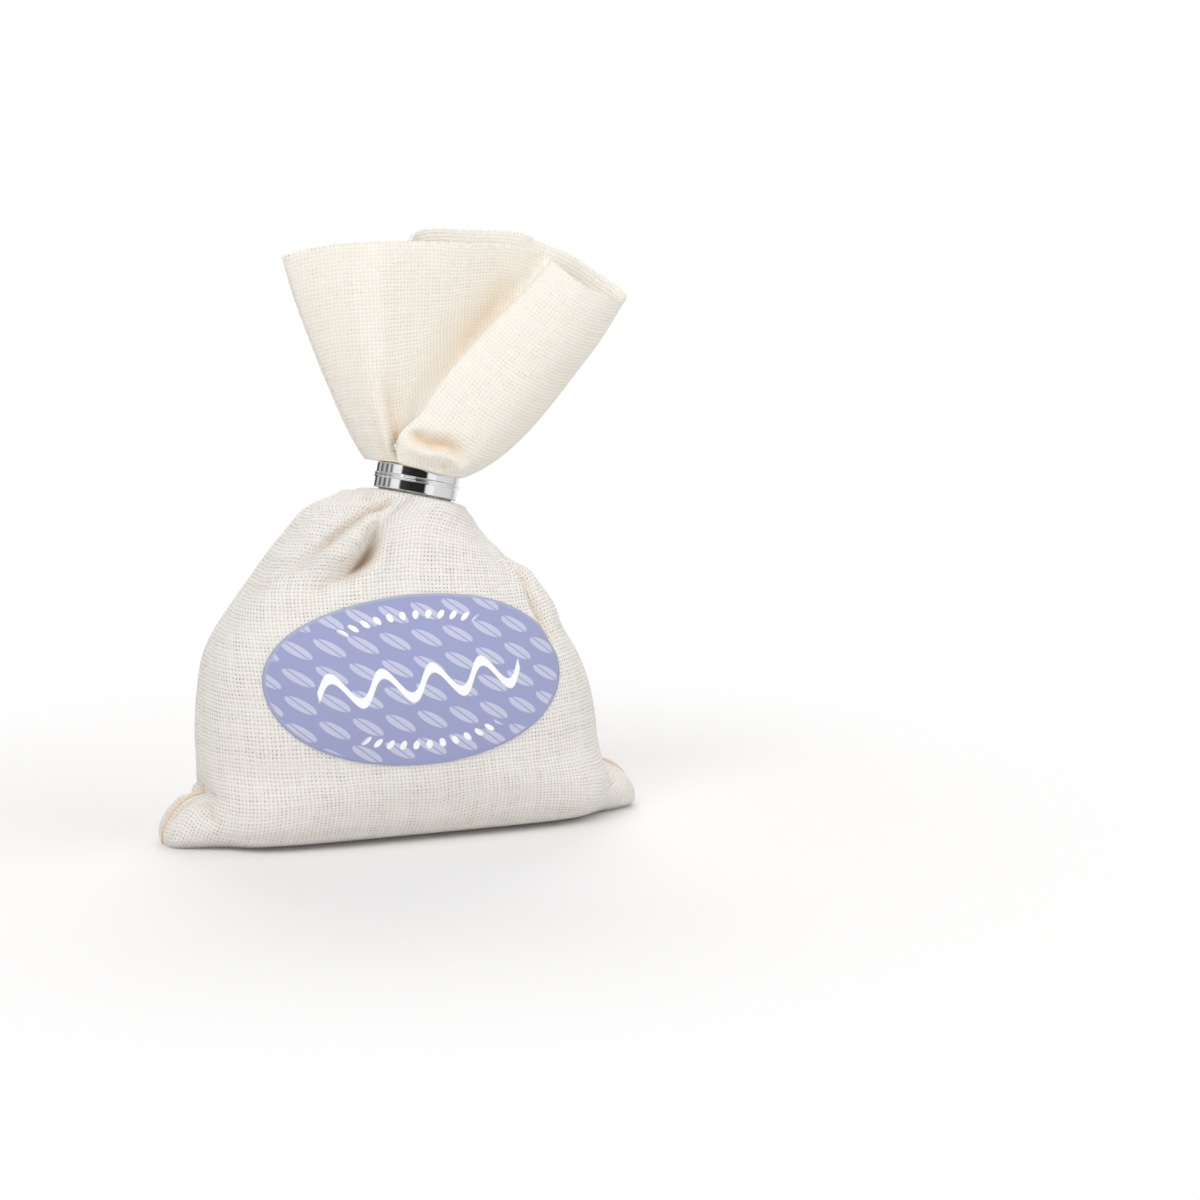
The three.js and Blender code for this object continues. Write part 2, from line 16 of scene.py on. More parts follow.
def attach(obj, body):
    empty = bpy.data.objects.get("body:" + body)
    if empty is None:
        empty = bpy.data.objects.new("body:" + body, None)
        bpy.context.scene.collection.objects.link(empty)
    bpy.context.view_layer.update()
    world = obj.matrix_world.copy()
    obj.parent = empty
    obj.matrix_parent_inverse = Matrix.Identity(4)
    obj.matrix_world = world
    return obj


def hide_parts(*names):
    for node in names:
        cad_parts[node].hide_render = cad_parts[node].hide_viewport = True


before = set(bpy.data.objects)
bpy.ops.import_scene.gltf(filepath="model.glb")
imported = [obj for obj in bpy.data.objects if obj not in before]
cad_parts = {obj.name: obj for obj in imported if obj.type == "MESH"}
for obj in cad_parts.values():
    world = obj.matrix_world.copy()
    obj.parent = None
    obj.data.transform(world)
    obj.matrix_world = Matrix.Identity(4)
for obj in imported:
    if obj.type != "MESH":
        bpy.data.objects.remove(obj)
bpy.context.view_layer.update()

MM = 0.001
LOG = logging.getLogger("sachet")

# Short names of the types that recur
Array = np.ndarray
Pair = tuple[float, float]
Triple = tuple[float, float, float]
Colour = tuple[float, float, float, float]
Node, Tree, Socket = bpy.types.Node, bpy.types.NodeTree, bpy.types.NodeSocket
Object, Material = bpy.types.Object, bpy.types.Material


class Body(str, Enum):
    """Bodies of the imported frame."""
    BAG = "bag"
    RING = "ring"


class FoldKind(Enum):
    """How the cloth moves across a fold's line."""
    VALLEY = "valley"
    RIDGE = "ridge"


class TreeKind(Enum):
    """What a node group makes."""
    SHADER = "ShaderNodeTree"
    GEOMETRY = "GeometryNodeTree"


# Numeric helpers

def smoothstep(x: Array, low: float, high: float) -> Array:
    """Eased step from 0 at low to 1 at high."""
    t = np.clip((x - low) / (high - low), 0.0, 1.0)
    return t * t * (3.0 - 2.0 * t)


def through(x: Array, table: Array) -> Array:
    """Smooth values through the rows of a table whose first column is the place.

    Args:
        x: places, any shape.
        table: rows of place and values.

    Returns:
        Values, with one more axis than x.
    """
    places, values = table[:, 0], table[:, 1:]
    slopes = np.gradient(values, places, axis=0)
    k = np.clip(np.searchsorted(places, x, side="right") - 1, 0, len(places) - 2)
    span = (places[k + 1] - places[k])[..., None]
    t = (x - places[k])[..., None] / span
    start = values[k] * (1 + 2 * t) * (1 - t) ** 2 + slopes[k] * span * t * (1 - t) ** 2
    end = values[k + 1] * t ** 2 * (3 - 2 * t) + slopes[k + 1] * span * t ** 2 * (t - 1)
    return start + end


def round_loop(p: Array, points: Array) -> Array:
    """Closed smooth curve through points that stand at equal shares of the way round.

    Args:
        p: shares of the way round, any shape.
        points: one row per point.

    Returns:
        Points, with one more axis than p.
    """
    count = len(points)
    place = (p % 1.0) * count
    i = np.floor(place).astype(int)
    t = (place - i)[..., None]
    a, b, c, d = (points[(i + k) % count] for k in (-1, 0, 1, 2))
    return 0.5 * (2 * b + (c - a) * t + (2 * a - 5 * b + 4 * c - d) * t ** 2 + (3 * (b - c) + d - a) * t ** 3)


def smooth_line(points: Array, count: int) -> Array:
    """Open smooth curve through points.

    Args:
        points: the points that it passes.
        count: how many points to give back.

    Returns:
        Points spread along the curve.
    """
    places = np.arange(len(points), dtype=float)
    table = np.column_stack([places, points])
    return through(np.linspace(0.0, places[-1], count), table)


def unit(vectors: Array) -> Array:
    """Vectors of length 1 in the same directions."""
    return vectors / np.maximum(np.linalg.norm(vectors, axis=-1, keepdims=True), 1e-9)


def turn(points: Array, axis: Array, angle: Array) -> Array:
    """Turns points about an axis through the origin.

    Args:
        points: points to turn.
        axis: unit vector.
        angle: radians, one per point or one for all.

    Returns:
        The turned points.
    """
    cos, sin = np.cos(angle)[..., None], np.sin(angle)[..., None]
    along = (points @ axis)[..., None] * axis
    return points * cos + np.cross(np.broadcast_to(axis, points.shape), points) * sin + along * (1 - cos)


def way_along(points: Array, axis: int = 0) -> Array:
    """Length of the way from point to point.

    Args:
        points: array whose last axis is x, y, z.
        axis: axis along which the way runs.

    Returns:
        Length of the way from the first point to each point.
    """
    steps = np.linalg.norm(np.diff(points, axis=axis), axis=-1)
    start = np.zeros_like(np.take(steps, [0], axis=axis))
    return np.concatenate([start, np.cumsum(steps, axis=axis)], axis=axis)


def as_line(points: Array) -> tuple[tuple[float, ...], ...]:
    """Points as the line of a fold."""
    return tuple(map(tuple, points))


# The bag's form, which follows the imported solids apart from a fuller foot

# Middle of the stretch inside the ring, as a place up the cloth
RING_MIDDLE = 1.5
# Share of the height, and there the shares of the half width, the half depth and the slump
BAG_PROFILE = np.array([
    [0.00, 0.90, 0.26, 0.00],
    [0.02, 0.925, 0.56, 0.00],
    [0.05, 0.95, 0.72, 0.00],
    [0.12, 0.98, 0.88, 0.00],
    [0.27, 0.99, 1.00, 0.23],
    [0.43, 0.95, 0.97, 0.45],
    [0.55, 0.88, 0.87, 0.68],
    [0.70, 0.69, 0.64, 0.88],
    [0.87, 0.42, 0.36, 0.80],
    [0.94, 0.29, 0.24, 0.58],
    [0.985, 0.128, 0.12, 0.12],
    [0.996, 0.075, 0.07, 0.04],
    [1.00, 0.00, 0.00, 0.00],
])
# Rim and foot of the collar, and the bow between them, in the neck's frame as shares of the collar's size
COLLAR_RIM = np.array([
    [-0.94, 0.10, 0.00], [-0.75, -0.08, 0.00], [-0.55, -0.16, -0.02], [-0.33, -0.15, -0.035],
    [0.00, -0.11, -0.03], [0.28, -0.03, -0.02], [0.55, 0.055, -0.02], [0.51, -0.13, -0.02],
    [0.66, -0.185, -0.06], [0.87, -0.13, -0.03], [1.03, 0.005, 0.075], [0.87, 0.12, 0.06],
    [0.66, 0.145, 0.05], [0.54, 0.24, 0.045], [0.47, 0.36, 0.07], [0.20, 0.445, 0.015],
    [-0.12, 0.40, -0.03], [-0.24, 0.265, -0.13], [-0.50, 0.25, -0.13], [-0.75, 0.22, -0.08],
])
COLLAR_FOOT = np.array([
    [-0.30, 0.03, -0.11], [-0.30, -0.15, -0.08], [-0.34, -0.24, -0.03], [-0.26, -0.14, 0.10],
    [-0.22, -0.08, 0.18], [-0.20, -0.07, 0.20], [-0.24, -0.12, 0.22], [-0.345, -0.25, 0.21],
    [0.08, -0.36, 0.05], [0.38, -0.28, 0.00], [0.55, -0.02, 0.00], [0.44, 0.20, 0.00],
    [0.28, 0.24, 0.00], [0.21, 0.22, 0.00], [0.20, 0.30, 0.00], [0.04, 0.34, 0.00],
    [-0.10, 0.30, 0.00], [-0.155, 0.21, 0.00], [-0.28, 0.25, 0.00], [-0.30, 0.20, -0.10],
])
COLLAR_BOW = np.zeros((len(COLLAR_FOOT), 3))
COLLAR_BOW[[0, 1, 6, 7, 8, 19], 0] = -0.11, -0.08, 0.08, 0.15, 0.05, -0.08
# Angles round the neck, in degrees, at which the collar's points leave the ring
COLLAR_NECK = np.array([
    180.0, 200.0, 217.0, 229.0, 233.0, 236.0, 240.0, 246.0, 276.0, 318.0,
    360.0, 380.0, 398.0, 412.0, 428.0, 450.0, 472.0, 488.0, 505.0, 523.0, 540.0,
])


@dataclass(frozen=True)
class SachetForm:
    """Sizes of the bag in millimetres, and the smooth cloth that follows from them.

    A place on the cloth is p, the share of the way round (0 left seam, 0.25 front, 0.5 right seam), and v:
    -1 bottom seam, 0 edge of the base, 1 and 2 the ring's lower and upper face, 3 rim.
    """
    belly_width: float = 82.0
    belly_depth: float = 44.0
    ear_reach: float = 10.9
    ear_height: float = 9.5
    ear_sharpness: float = 40.0
    neck_height: float = 68.5
    neck_shift: float = 3.9
    lean_right: float = 13.0
    lean_back: float = 5.0
    slump: float = 6.0
    section_power: float = 2.4
    base_power: float = 5.0
    neck_radius: float = 7.2
    neck_hole: float = 1.2
    neck_half: float = 2.8
    pleats: int = 26
    pleat_depth: float = 0.9
    ring_lip: float = 1.3
    left_lip: float = 2.6
    left_drop: float = 0.4
    front_lip: float = 2.0
    front_drop: float = 1.15
    front_angle: float = 284.0
    right_lip: float = 0.8
    collar_length: float = 46.0
    collar_size: float = 36.0
    foot_rise: float = 3.7
    rim_slope: Pair = (0.1, 0.2)
    base_tuck: float = 0.054
    cloth: float = 0.7
    square_until: float = 0.25
    round_from: float = 0.7
    lean_from: float = 0.75
    ear_curve: Pair = (1.2, 0.5)
    pleat_drift: float = 0.02
    pleat_waves: int = 5
    pleat_ends: float = 0.6
    lip_power: int = 3
    front_power: int = 4

    @property
    def axis(self) -> Array:
        """Unit vector up along the neck."""
        slopes = [math.tan(math.radians(angle)) for angle in (self.lean_right, self.lean_back)]
        lean = np.array([*slopes, 1.0])
        return lean / np.linalg.norm(lean)

    @property
    def centre(self) -> Array:
        """Middle of the ring."""
        return np.array([self.neck_shift, 0.0, self.neck_height])

    @property
    def shoulder(self) -> Array:
        """Middle of the neck at the ring's lower face."""
        return self.centre - self.axis * self.neck_half

    def lean(self, points: Array, share: Array) -> Array:
        """Leans points over with the neck.

        Args:
            points: points about the origin.
            share: 0 for upright to 1 for the neck's full lean.

        Returns:
            The leaned points.
        """
        axis = self.axis
        hinge = np.array([-axis[1], axis[0], 0.0]) / math.hypot(axis[0], axis[1])
        return turn(points, hinge, np.asarray(share) * math.acos(axis[2]))

    def from_neck(self, points: Array) -> Array:
        """Points of the neck's own frame, in the part's frame."""
        return self.lean(points, np.ones(points.shape[:-1])) + self.centre

    def bag(self, p: Array, v: Array) -> Array:
        """The filled bag between the floor and the neck.

        Args:
            p: places round the bag.
            v: 0 at the floor to 1 at the neck.

        Returns:
            Points of the cloth's outside.
        """
        shares = through(v, BAG_PROFILE)
        half_width = self.neck_radius + (self.belly_width / 2 - self.neck_radius) * shares[..., 0]
        half_depth = self.neck_radius + (self.belly_depth / 2 - self.neck_radius) * shares[..., 1]
        rounder = smoothstep(v, 0.0, self.square_until)
        square = self.base_power + (self.section_power - self.base_power) * rounder
        power = 2.0 / (square + (2.0 - square) * smoothstep(v, self.round_from, 1.0))
        angle = math.pi * (1 + 2 * p)
        cos, sin = np.cos(angle), np.sin(angle)
        height = v * self.shoulder[2]
        ear = (1 - np.clip(height / self.ear_height, 0.0, 1.0) ** self.ear_curve[0]) ** self.ear_curve[1]
        ear = ear * np.abs(cos) ** self.ear_sharpness * self.ear_reach
        local = np.stack([
            np.sign(cos) * (np.abs(cos) ** power * half_width + ear),
            np.sign(sin) * np.abs(sin) ** power * half_depth,
            np.zeros_like(height),
        ], axis=-1)
        middle = np.stack([
            self.shoulder[0] * v - self.slump * shares[..., 2],
            self.shoulder[1] * v,
            height,
        ], axis=-1)
        return self.lean(local, smoothstep(v, self.lean_from, 1.0)) + middle

    def base(self, p: Array, k: Array) -> Array:
        """The base on the floor.

        Args:
            p: places round the bag.
            k: 0 at the bottom seam to 1 at the base's edge.

        Returns:
            Points of the cloth's outside.
        """
        edge = self.bag(p, np.zeros_like(p))
        tuck = 1 - self.base_tuck * (1 - k)
        return np.stack([edge[..., 0] * tuck, edge[..., 1] * k, np.zeros_like(k)], axis=-1)

    def neck_angle(self, p: Array, share: Array) -> Array:
        """Angle round the neck, from even places below the ring to the collar's lines above it.

        Args:
            p: places round the bag.
            share: 0 at the ring's lower face to 1 at its upper face.

        Returns:
            Angles in radians.
        """
        place = (p % 1.0) * (len(COLLAR_NECK) - 1)
        lines = np.radians(np.interp(place, np.arange(len(COLLAR_NECK)), COLLAR_NECK))
        return math.pi * (1 + 2 * (p % 1.0)) * (1 - share) + lines * share

    def pleat(self, p: Array, share: Array) -> Array:
        """How far the bunched cloth dips between its pleats inside the ring.

        Args:
            p: places round the bag.
            share: 0 at the ring's lower face to 1 at its upper face.

        Returns:
            Depths below the neck's outside.
        """
        uneven = p + self.pleat_drift * np.sin(2 * math.pi * self.pleat_waves * p)
        wave = 0.5 - 0.5 * np.cos(2 * math.pi * self.pleats * uneven)
        return self.pleat_depth * wave * np.sin(math.pi * np.clip(share, 0.0, 1.0)) ** self.pleat_ends

    def neck(self, p: Array, share: Array, radius: Array | float) -> Array:
        """The gathered cloth inside the ring.

        Args:
            p: places round the bag.
            share: 0 at the ring's lower face to 1 at its upper face.
            radius: distance from the neck's axis.

        Returns:
            Points round the neck.
        """
        angle = self.neck_angle(p, share)
        along = self.neck_half * (2 * share - 1)
        return self.from_neck(np.stack([radius * np.cos(angle), radius * np.sin(angle), along], axis=-1))

    def collar(self, p: Array, t: Array) -> Array:
        """The cloth above the ring.

        Args:
            p: places round the bag.
            t: 0 at the ring to 1 at the rim.

        Returns:
            Points of the cloth's outside.
        """
        rim = round_loop(p, COLLAR_RIM) * self.collar_size
        foot = round_loop(p, COLLAR_FOOT) * self.collar_size
        foot[..., 2] += self.neck_half + self.foot_rise
        angle = self.neck_angle(p, np.ones_like(p))
        left = np.cos(angle) < 0
        side = np.abs(np.cos(angle)) ** self.lip_power
        front = np.clip(np.cos(angle - math.radians(self.front_angle)), 0.0, 1.0) ** self.front_power
        lip = self.neck_radius + self.ring_lip + side * np.where(left, self.left_lip, self.right_lip)
        lip = lip + self.front_lip * front
        start = np.stack([
            lip * np.cos(angle),
            lip * np.sin(angle),
            self.neck_half - side * np.where(left, self.left_drop, 0.0) - self.front_drop * front,
        ], axis=-1)
        reach = np.hypot(rim[..., 0], rim[..., 1]) - self.neck_radius
        rim[..., 2] += self.neck_half + np.sqrt(self.collar_length ** 2 - reach ** 2)
        rim[..., 2] += self.rim_slope[0] * rim[..., 0] + self.rim_slope[1] * rim[..., 1]
        k = t[..., None]
        bow = round_loop(p, COLLAR_BOW) * self.collar_size
        curve = start * (1 - k) ** 2 + foot * 2 * k * (1 - k) + rim * k ** 2
        return self.from_neck(curve + bow * 3 * k ** 2 * (1 - k))

    def surface(self, p: Array, v: Array) -> Array:
        """The smooth cloth before its folds.

        Args:
            p: places round the bag.
            v: places up the cloth, from -1 to 3.

        Returns:
            Points of the cloth's outside.
        """
        points = self.bag(p, np.clip(v, 0.0, 1.0))
        low = v < 0
        points[low] = self.base(p[low], v[low] + 1)
        held = (v >= 1) & (v < 2)
        radius = self.neck_radius - self.pleat(p[held], v[held] - 1)
        points[held] = self.neck(p[held], v[held] - 1, radius)
        high = v >= 2
        points[high] = self.collar(p[high], v[high] - 2)
        return points


# Points along each fold's line, and the widths from the line within which the cloth may move
FOLD_STEPS = 60
FOLD_REACH = 3


@dataclass(frozen=True)
class Fold:
    """One fold of the cloth along a line.

    Attributes:
        kind: shape across the line.
        line: points near the cloth, in millimetres.
        depth: how far the cloth moves at the line.
        width: how far from the line the move dies away.
        fade: shares of the line over which the fold grows and dies.
        region: lowest and highest v that the fold may touch.
        sector: lowest and highest p that it may touch.
        way: direction of the move, where it isn't straight out of the cloth.
        soft: share of the way round over which the fold grows from the sector's low edge.
        shade_per_mm: painted shade, how much a valley darkens the cloth's colour for each millimetre of its
            depth.
    """
    kind: FoldKind
    line: tuple[Triple, ...]
    depth: float
    width: float
    fade: Pair = (0.2, 0.4)
    region: Pair = (0.0, 1.0)
    sector: Pair = (0.0, 1.0)
    way: Triple | None = None
    soft: float = 0.0
    shade_per_mm: float = 0.2

    def moves(self, points: Array, normals: Array, p: Array, v: Array) -> Array:
        """How far each point moves out of the cloth.

        Args:
            points: smooth cloth, flat list of points.
            normals: its directions out.
            p: place round the cloth of each point.
            v: place up the cloth of each point.

        Returns:
            Distances, positive outwards.
        """
        dense = smooth_line(np.array(self.line), FOLD_STEPS)
        reach = FOLD_REACH * self.width
        near = np.all((points > dense.min(0) - reach) & (points < dense.max(0) + reach), axis=1)
        near &= (v >= self.region[0]) & (v <= self.region[1])
        inside = (p - self.sector[0]) % 1.0
        near &= inside <= self.sector[1] - self.sector[0]
        moved = np.zeros(len(points))
        offset = points[near][:, None, :] - dense[None]
        closest = np.argmin((offset ** 2).sum(-1), axis=1)
        offset = offset[np.arange(len(closest)), closest]
        away = np.linalg.norm(offset - normals[near] * (offset * normals[near]).sum(1)[:, None], axis=1)
        share = closest / (len(dense) - 1)
        rise = smoothstep(share, 0.0, self.fade[0]) if self.fade[0] else np.ones_like(share)
        fall = 1 - smoothstep(share, 1 - self.fade[1], 1.0) if self.fade[1] else np.ones_like(share)
        moved[near] = self.depth * rise * fall * self.profile(away)
        return moved * smoothstep(inside, 0.0, self.soft) if self.soft else moved

    def shift(self, moved: Array, normals: Array) -> Array:
        """Turns distances into moves."""
        way = unit(np.array(self.way)) if self.way else normals
        return way * moved[:, None]

    def profile(self, away: Array) -> Array:
        """Share of the depth at a distance from the line.

        Args:
            away: distances from the line.

        Returns:
            Shares, from 0 to 1, or to -1 in a valley.
        """
        if self.kind is FoldKind.RIDGE:
            return np.exp(-(away / self.width) ** 2)
        return -np.clip(1 - away / self.width, 0.0, 1.0) ** 2


# Creases, rolls and pockets of the left shoulder, then the crease of the right side between its rolls; each
# valley also paints shade into the cloth's colour
BODY_FOLDS: tuple[Fold, ...] = (
    Fold(FoldKind.VALLEY, (
        (-2.5, -7.5, 67.1), (-6.7, -9.0, 65.2), (-10.8, -9.6, 63.2), (-14.4, -9.7, 61.0),
        (-17.5, -9.5, 58.7), (-21.1, -8.8, 56.5), (-24.4, -7.9, 54.2), (-28.4, -6.0, 51.1),
    ), depth=2.5, width=2.0, fade=(0.1, 0.45)),
    Fold(FoldKind.RIDGE, (
        (-9.3, 0.0, 67.5), (-11.5, 0.0, 67.1), (-14.0, 0.0, 66.4),
    ), depth=0.6, width=2.6, fade=(0.1, 0.6), sector=(-0.1, 0.12), way=(-0.35, 0.0, 0.94)),
    Fold(FoldKind.RIDGE, (
        (-7.6, -6.9, 66.8), (-11.9, -6.4, 65.0), (-16.3, -6.2, 62.0), (-20.7, -5.5, 57.9),
    ), depth=0.4, width=3.0, fade=(0.1, 0.6)),
    Fold(FoldKind.RIDGE, (
        (-5.4, -9.6, 64.4), (-8.6, -10.4, 62.4), (-12.1, -10.9, 59.6), (-15.9, -11.2, 56.6),
        (-19.6, -11.1, 53.7), (-25.6, -10.4, 49.0),
    ), depth=2.8, width=2.9, fade=(0.25, 0.6)),
    Fold(FoldKind.VALLEY, (
        (-5.1, -9.4, 65.3), (-7.2, -10.6, 62.9), (-8.6, -11.6, 60.0), (-9.7, -12.7, 57.0),
        (-12.1, -13.1, 55.0), (-15.5, -13.2, 52.8), (-21.5, -12.5, 49.9), (-26.6, -11.4, 47.3),
    ), depth=5.1, width=3.2, fade=(0.5, 0.55), shade_per_mm=0.12),
    Fold(FoldKind.VALLEY, (
        (-8.9, -11.8, 59.6), (-9.7, -12.4, 57.8), (-11.0, -12.9, 56.2), (-12.6, -13.1, 54.9),
        (-14.8, -13.2, 53.3),
    ), depth=1.9, width=1.9, fade=(0.4, 0.5), shade_per_mm=0.3),
    Fold(FoldKind.RIDGE, (
        (-4.2, -9.4, 65.3), (-5.9, -10.9, 62.6), (-7.1, -12.2, 59.1), (-8.1, -13.2, 56.1),
        (-10.3, -14.1, 52.6), (-14.8, -14.3, 50.2), (-20.3, -13.9, 47.7),
    ), depth=0.9, width=2.2, fade=(0.2, 0.6)),
    Fold(FoldKind.VALLEY, (
        (-25.9, -7.0, 50.8), (-29.0, -3.8, 48.9), (-31.1, -0.5, 47.0),
    ), depth=0.7, width=2.5, fade=(0.4, 0.4)),
    Fold(FoldKind.VALLEY, (
        (-22.3, -13.3, 46.8), (-26.6, -11.2, 46.1), (-29.5, -9.6, 45.0),
    ), depth=0.5, width=2.5, fade=(0.4, 0.4)),
    Fold(FoldKind.RIDGE, (
        (17.0, -3.8, 57.1), (19.5, -6.0, 53.5), (21.8, -10.2, 47.8), (23.8, -10.9, 44.6),
        (26.1, -13.3, 38.9),
    ), depth=0.9, width=1.8, fade=(0.25, 0.4)),
    Fold(FoldKind.VALLEY, (
        (18.5, -4.3, 55.1), (20.6, -6.2, 52.5), (22.9, -9.5, 47.4), (24.9, -11.4, 42.8),
        (27.3, -13.3, 37.4), (28.3, -14.6, 33.5),
    ), depth=2.8, width=2.6, fade=(0.15, 0.4)),
    Fold(FoldKind.RIDGE, (
        (20.5, -5.9, 52.7), (25.1, -6.2, 47.7), (28.3, -7.9, 42.4), (29.3, -10.9, 38.4),
    ), depth=1.8, width=4.0, fade=(0.25, 0.4)),
)
# The way in which the mound over the ring stands out
MOUND_WAY = (-0.36, -0.9, 0.2)
# The collar's deep crease and the painted shade inside it, a shallow wide dip beside the rolled lobe that is
# mostly painted shade, then the mound over the ring with its hollow and crease
COLLAR_FOLDS: tuple[Fold, ...] = (
    Fold(FoldKind.VALLEY, (
        (-0.5, -5.9, 72.9), (-1.0, -5.2, 75.0), (-1.6, -4.9, 77.7), (-2.9, -4.9, 84.6),
        (-5.2, -5.3, 90.1), (-7.4, -4.3, 95.0),
    ), depth=1.3, width=4.5, fade=(0.0, 0.8), region=(2.0, 3.0), sector=(0.0, 0.3), shade_per_mm=0.75),
    Fold(FoldKind.VALLEY, (
        (-0.5, -5.9, 72.9), (-1.0, -5.2, 75.0), (-1.6, -4.9, 77.7), (-2.3, -4.9, 81.0),
    ), depth=0.3, width=1.3, fade=(0.0, 0.7), region=(2.0, 3.0), sector=(0.0, 0.3), shade_per_mm=2.5),
    Fold(FoldKind.VALLEY, (
        (2.8, -2.5, 84.2), (10.2, -0.3, 91.3), (17.2, 1.7, 98.6), (23.0, 3.3, 104.6),
        (27.5, 4.5, 109.1),
    ), depth=0.3, width=10.0, fade=(0.5, 0.4), region=(2.0, 3.0), sector=(0.1, 0.33), shade_per_mm=1.7),
    Fold(FoldKind.RIDGE, (
        (1.8, -7.6, 79.1), (2.0, -8.0, 77.3), (2.7, -8.3, 75.8), (4.0, -8.7, 74.8), (5.6, -9.0, 74.6),
        (7.0, -9.2, 74.4), (8.5, -8.9, 73.1), (10.0, -7.5, 71.3),
    ), depth=2.0, width=1.4, fade=(0.15, 0.08), region=(2.0, 2.6), sector=(0.3, 0.5), soft=0.04,
        way=MOUND_WAY),
    Fold(FoldKind.RIDGE, (
        (1.1, -7.8, 76.4), (2.1, -8.1, 74.4), (3.8, -8.5, 73.4), (5.9, -8.8, 73.1), (7.8, -8.6, 72.3),
    ), depth=0.5, width=2.2, fade=(0.1, 0.25), region=(2.0, 2.5), sector=(0.3, 0.5), soft=0.04,
        way=MOUND_WAY),
    Fold(FoldKind.VALLEY, (
        (2.8, -7.7, 79.8), (3.1, -8.1, 78.3), (3.8, -8.5, 77.1), (5.4, -8.9, 76.8), (7.3, -9.2, 76.4),
        (9.0, -9.3, 75.0), (10.8, -8.5, 72.7),
    ), depth=2.5, width=2.9, fade=(0.2, 0.25), region=(2.0, 2.7), sector=(0.345, 0.5), soft=0.015, shade_per_mm=0.38),
    Fold(FoldKind.VALLEY, (
        (2.8, -8.0, 72.6), (4.3, -8.2, 72.4), (5.8, -8.2, 72.3), (8.3, -8.4, 72.4),
    ), depth=0.6, width=0.9, fade=(0.3, 0.3), region=(2.0, 2.3), sector=(0.33, 0.5), shade_per_mm=1.2),
)
# The groove and the slit of the left corner's front, and how far round from its seam they may reach; both
# paint shade into the cloth's colour, the slit most
CORNER_FOLDS: tuple[Fold, ...] = (
    Fold(FoldKind.VALLEY, (
        (-41.5, -2.3, 9.9), (-41.8, -7.2, 9.1), (-41.7, -8.7, 7.7), (-40.9, -9.9, 5.9),
        (-40.3, -10.1, 4.0),
    ), depth=1.5, width=2.4, fade=(0.1, 0.5), region=(0.0, 0.3)),
    Fold(FoldKind.VALLEY, (
        (-42.8, -3.5, 9.5), (-44.5, -2.4, 8.7), (-46.0, -1.9, 7.4), (-47.2, -2.2, 6.1),
        (-48.2, -2.4, 4.5),
    ), depth=1.1, width=1.4, fade=(0.2, 0.4), region=(0.0, 0.3), shade_per_mm=0.9),
)
CORNER_SECTOR = 0.12
# The foot of the collar's rolled lobe, its place round the cloth and the upper end of its line
LOBE_EDGE = Fold(FoldKind.RIDGE, (), depth=2.6, width=3.5, fade=(0.45, 0.0), region=(2.0, 2.7),
                 sector=(0.25, 0.46), way=(-0.928, 0.371, 0.0), soft=0.07)
LOBE_PLACE = 0.335
LOBE_TOP = 2.36
LOBE_STEPS = 9
# The side seams' groove, its stretches below and above the ring, and how far round it may reach
SEAM_GROOVE = Fold(FoldKind.VALLEY, (), depth=0.5, width=1.0, fade=(0.05, 0.0))
SEAM_STRETCHES = ((0.2, 0.99), (2.02, 3.0))
SEAM_SECTOR = 0.06
SEAM_STEPS = 24


@dataclass(frozen=True)
class Gather:
    """Ranges from which the pleats on one side of the ring are drawn.

    Attributes:
        drift: how far round a pleat may wander.
        start: place up the cloth where it leaves the ring.
        ends: lowest and highest place up the cloth where it ends.
        depths: least and greatest depth.
        widths: least and greatest width.
        fade: shares of its line over which it grows and dies.
        region: lowest and highest place up the cloth that it may touch.
    """
    drift: float
    start: float
    ends: Pair
    depths: Pair
    widths: Pair
    fade: Pair
    region: Pair


# Pleats below and above the ring, the places where they start, and the cloth's back, to which they keep
GATHERS: tuple[Gather, ...] = (
    Gather(drift=0.03, start=0.985, ends=(0.62, 0.84), depths=(1.0, 2.2), widths=(2.0, 3.2),
           fade=(0.15, 0.7), region=(0.0, 1.0)),
    Gather(drift=0.01, start=2.0, ends=(2.2, 2.5), depths=(0.8, 1.6), widths=(1.6, 2.6),
           fade=(0.0, 0.8), region=(2.0, 3.0)),
)
GATHER_PLACES = np.linspace(0.57, 0.93, 11)
BACK = (0.5, 1.0)
GATHER_STEPS = 7
GATHER_SEED = 7


def corner_grooves() -> tuple[Fold, ...]:
    """Grooves between belly and bottom corners, and slits beside the corners' seams, front and back.

    Returns:
        The eight folds.
    """
    folds = []
    for side, middle in ((1.0, 0.0), (-1.0, 0.5)):
        sector = (middle - CORNER_SECTOR, middle + CORNER_SECTOR)
        for face in (1.0, -1.0):
            for fold in CORNER_FOLDS:
                line = as_line(np.array(fold.line) * np.array([side, face, 1.0]))
                folds.append(replace(fold, line=line, sector=sector))
    return tuple(folds)


def lobe_edge(form: SachetForm) -> tuple[Fold, ...]:
    """The foot of the collar's rolled lobe, which hangs over to the left beside the deep crease."""
    high = np.linspace(LOBE_TOP, 2.0, LOBE_STEPS)
    return (replace(LOBE_EDGE, line=as_line(form.surface(np.full_like(high, LOBE_PLACE), high))),)


def gathers(form: SachetForm) -> tuple[Fold, ...]:
    """Pleats that run from the ring down the bag's back and up the collar's back.

    Args:
        form: the bag's form.

    Returns:
        The folds, the same at each run.
    """
    chance = np.random.default_rng(GATHER_SEED)
    folds = []
    for p in GATHER_PLACES:
        for kind in GATHERS:
            aside = p + chance.uniform(-kind.drift, kind.drift)
            end = chance.uniform(*kind.ends)
            way = np.linspace((p, kind.start), (aside, end), GATHER_STEPS)
            line = as_line(form.surface(way[:, 0], way[:, 1]))
            depth, width = chance.uniform(*kind.depths), chance.uniform(*kind.widths)
            folds.append(Fold(FoldKind.VALLEY, line, depth, width, kind.fade, kind.region, BACK))
    return tuple(folds)


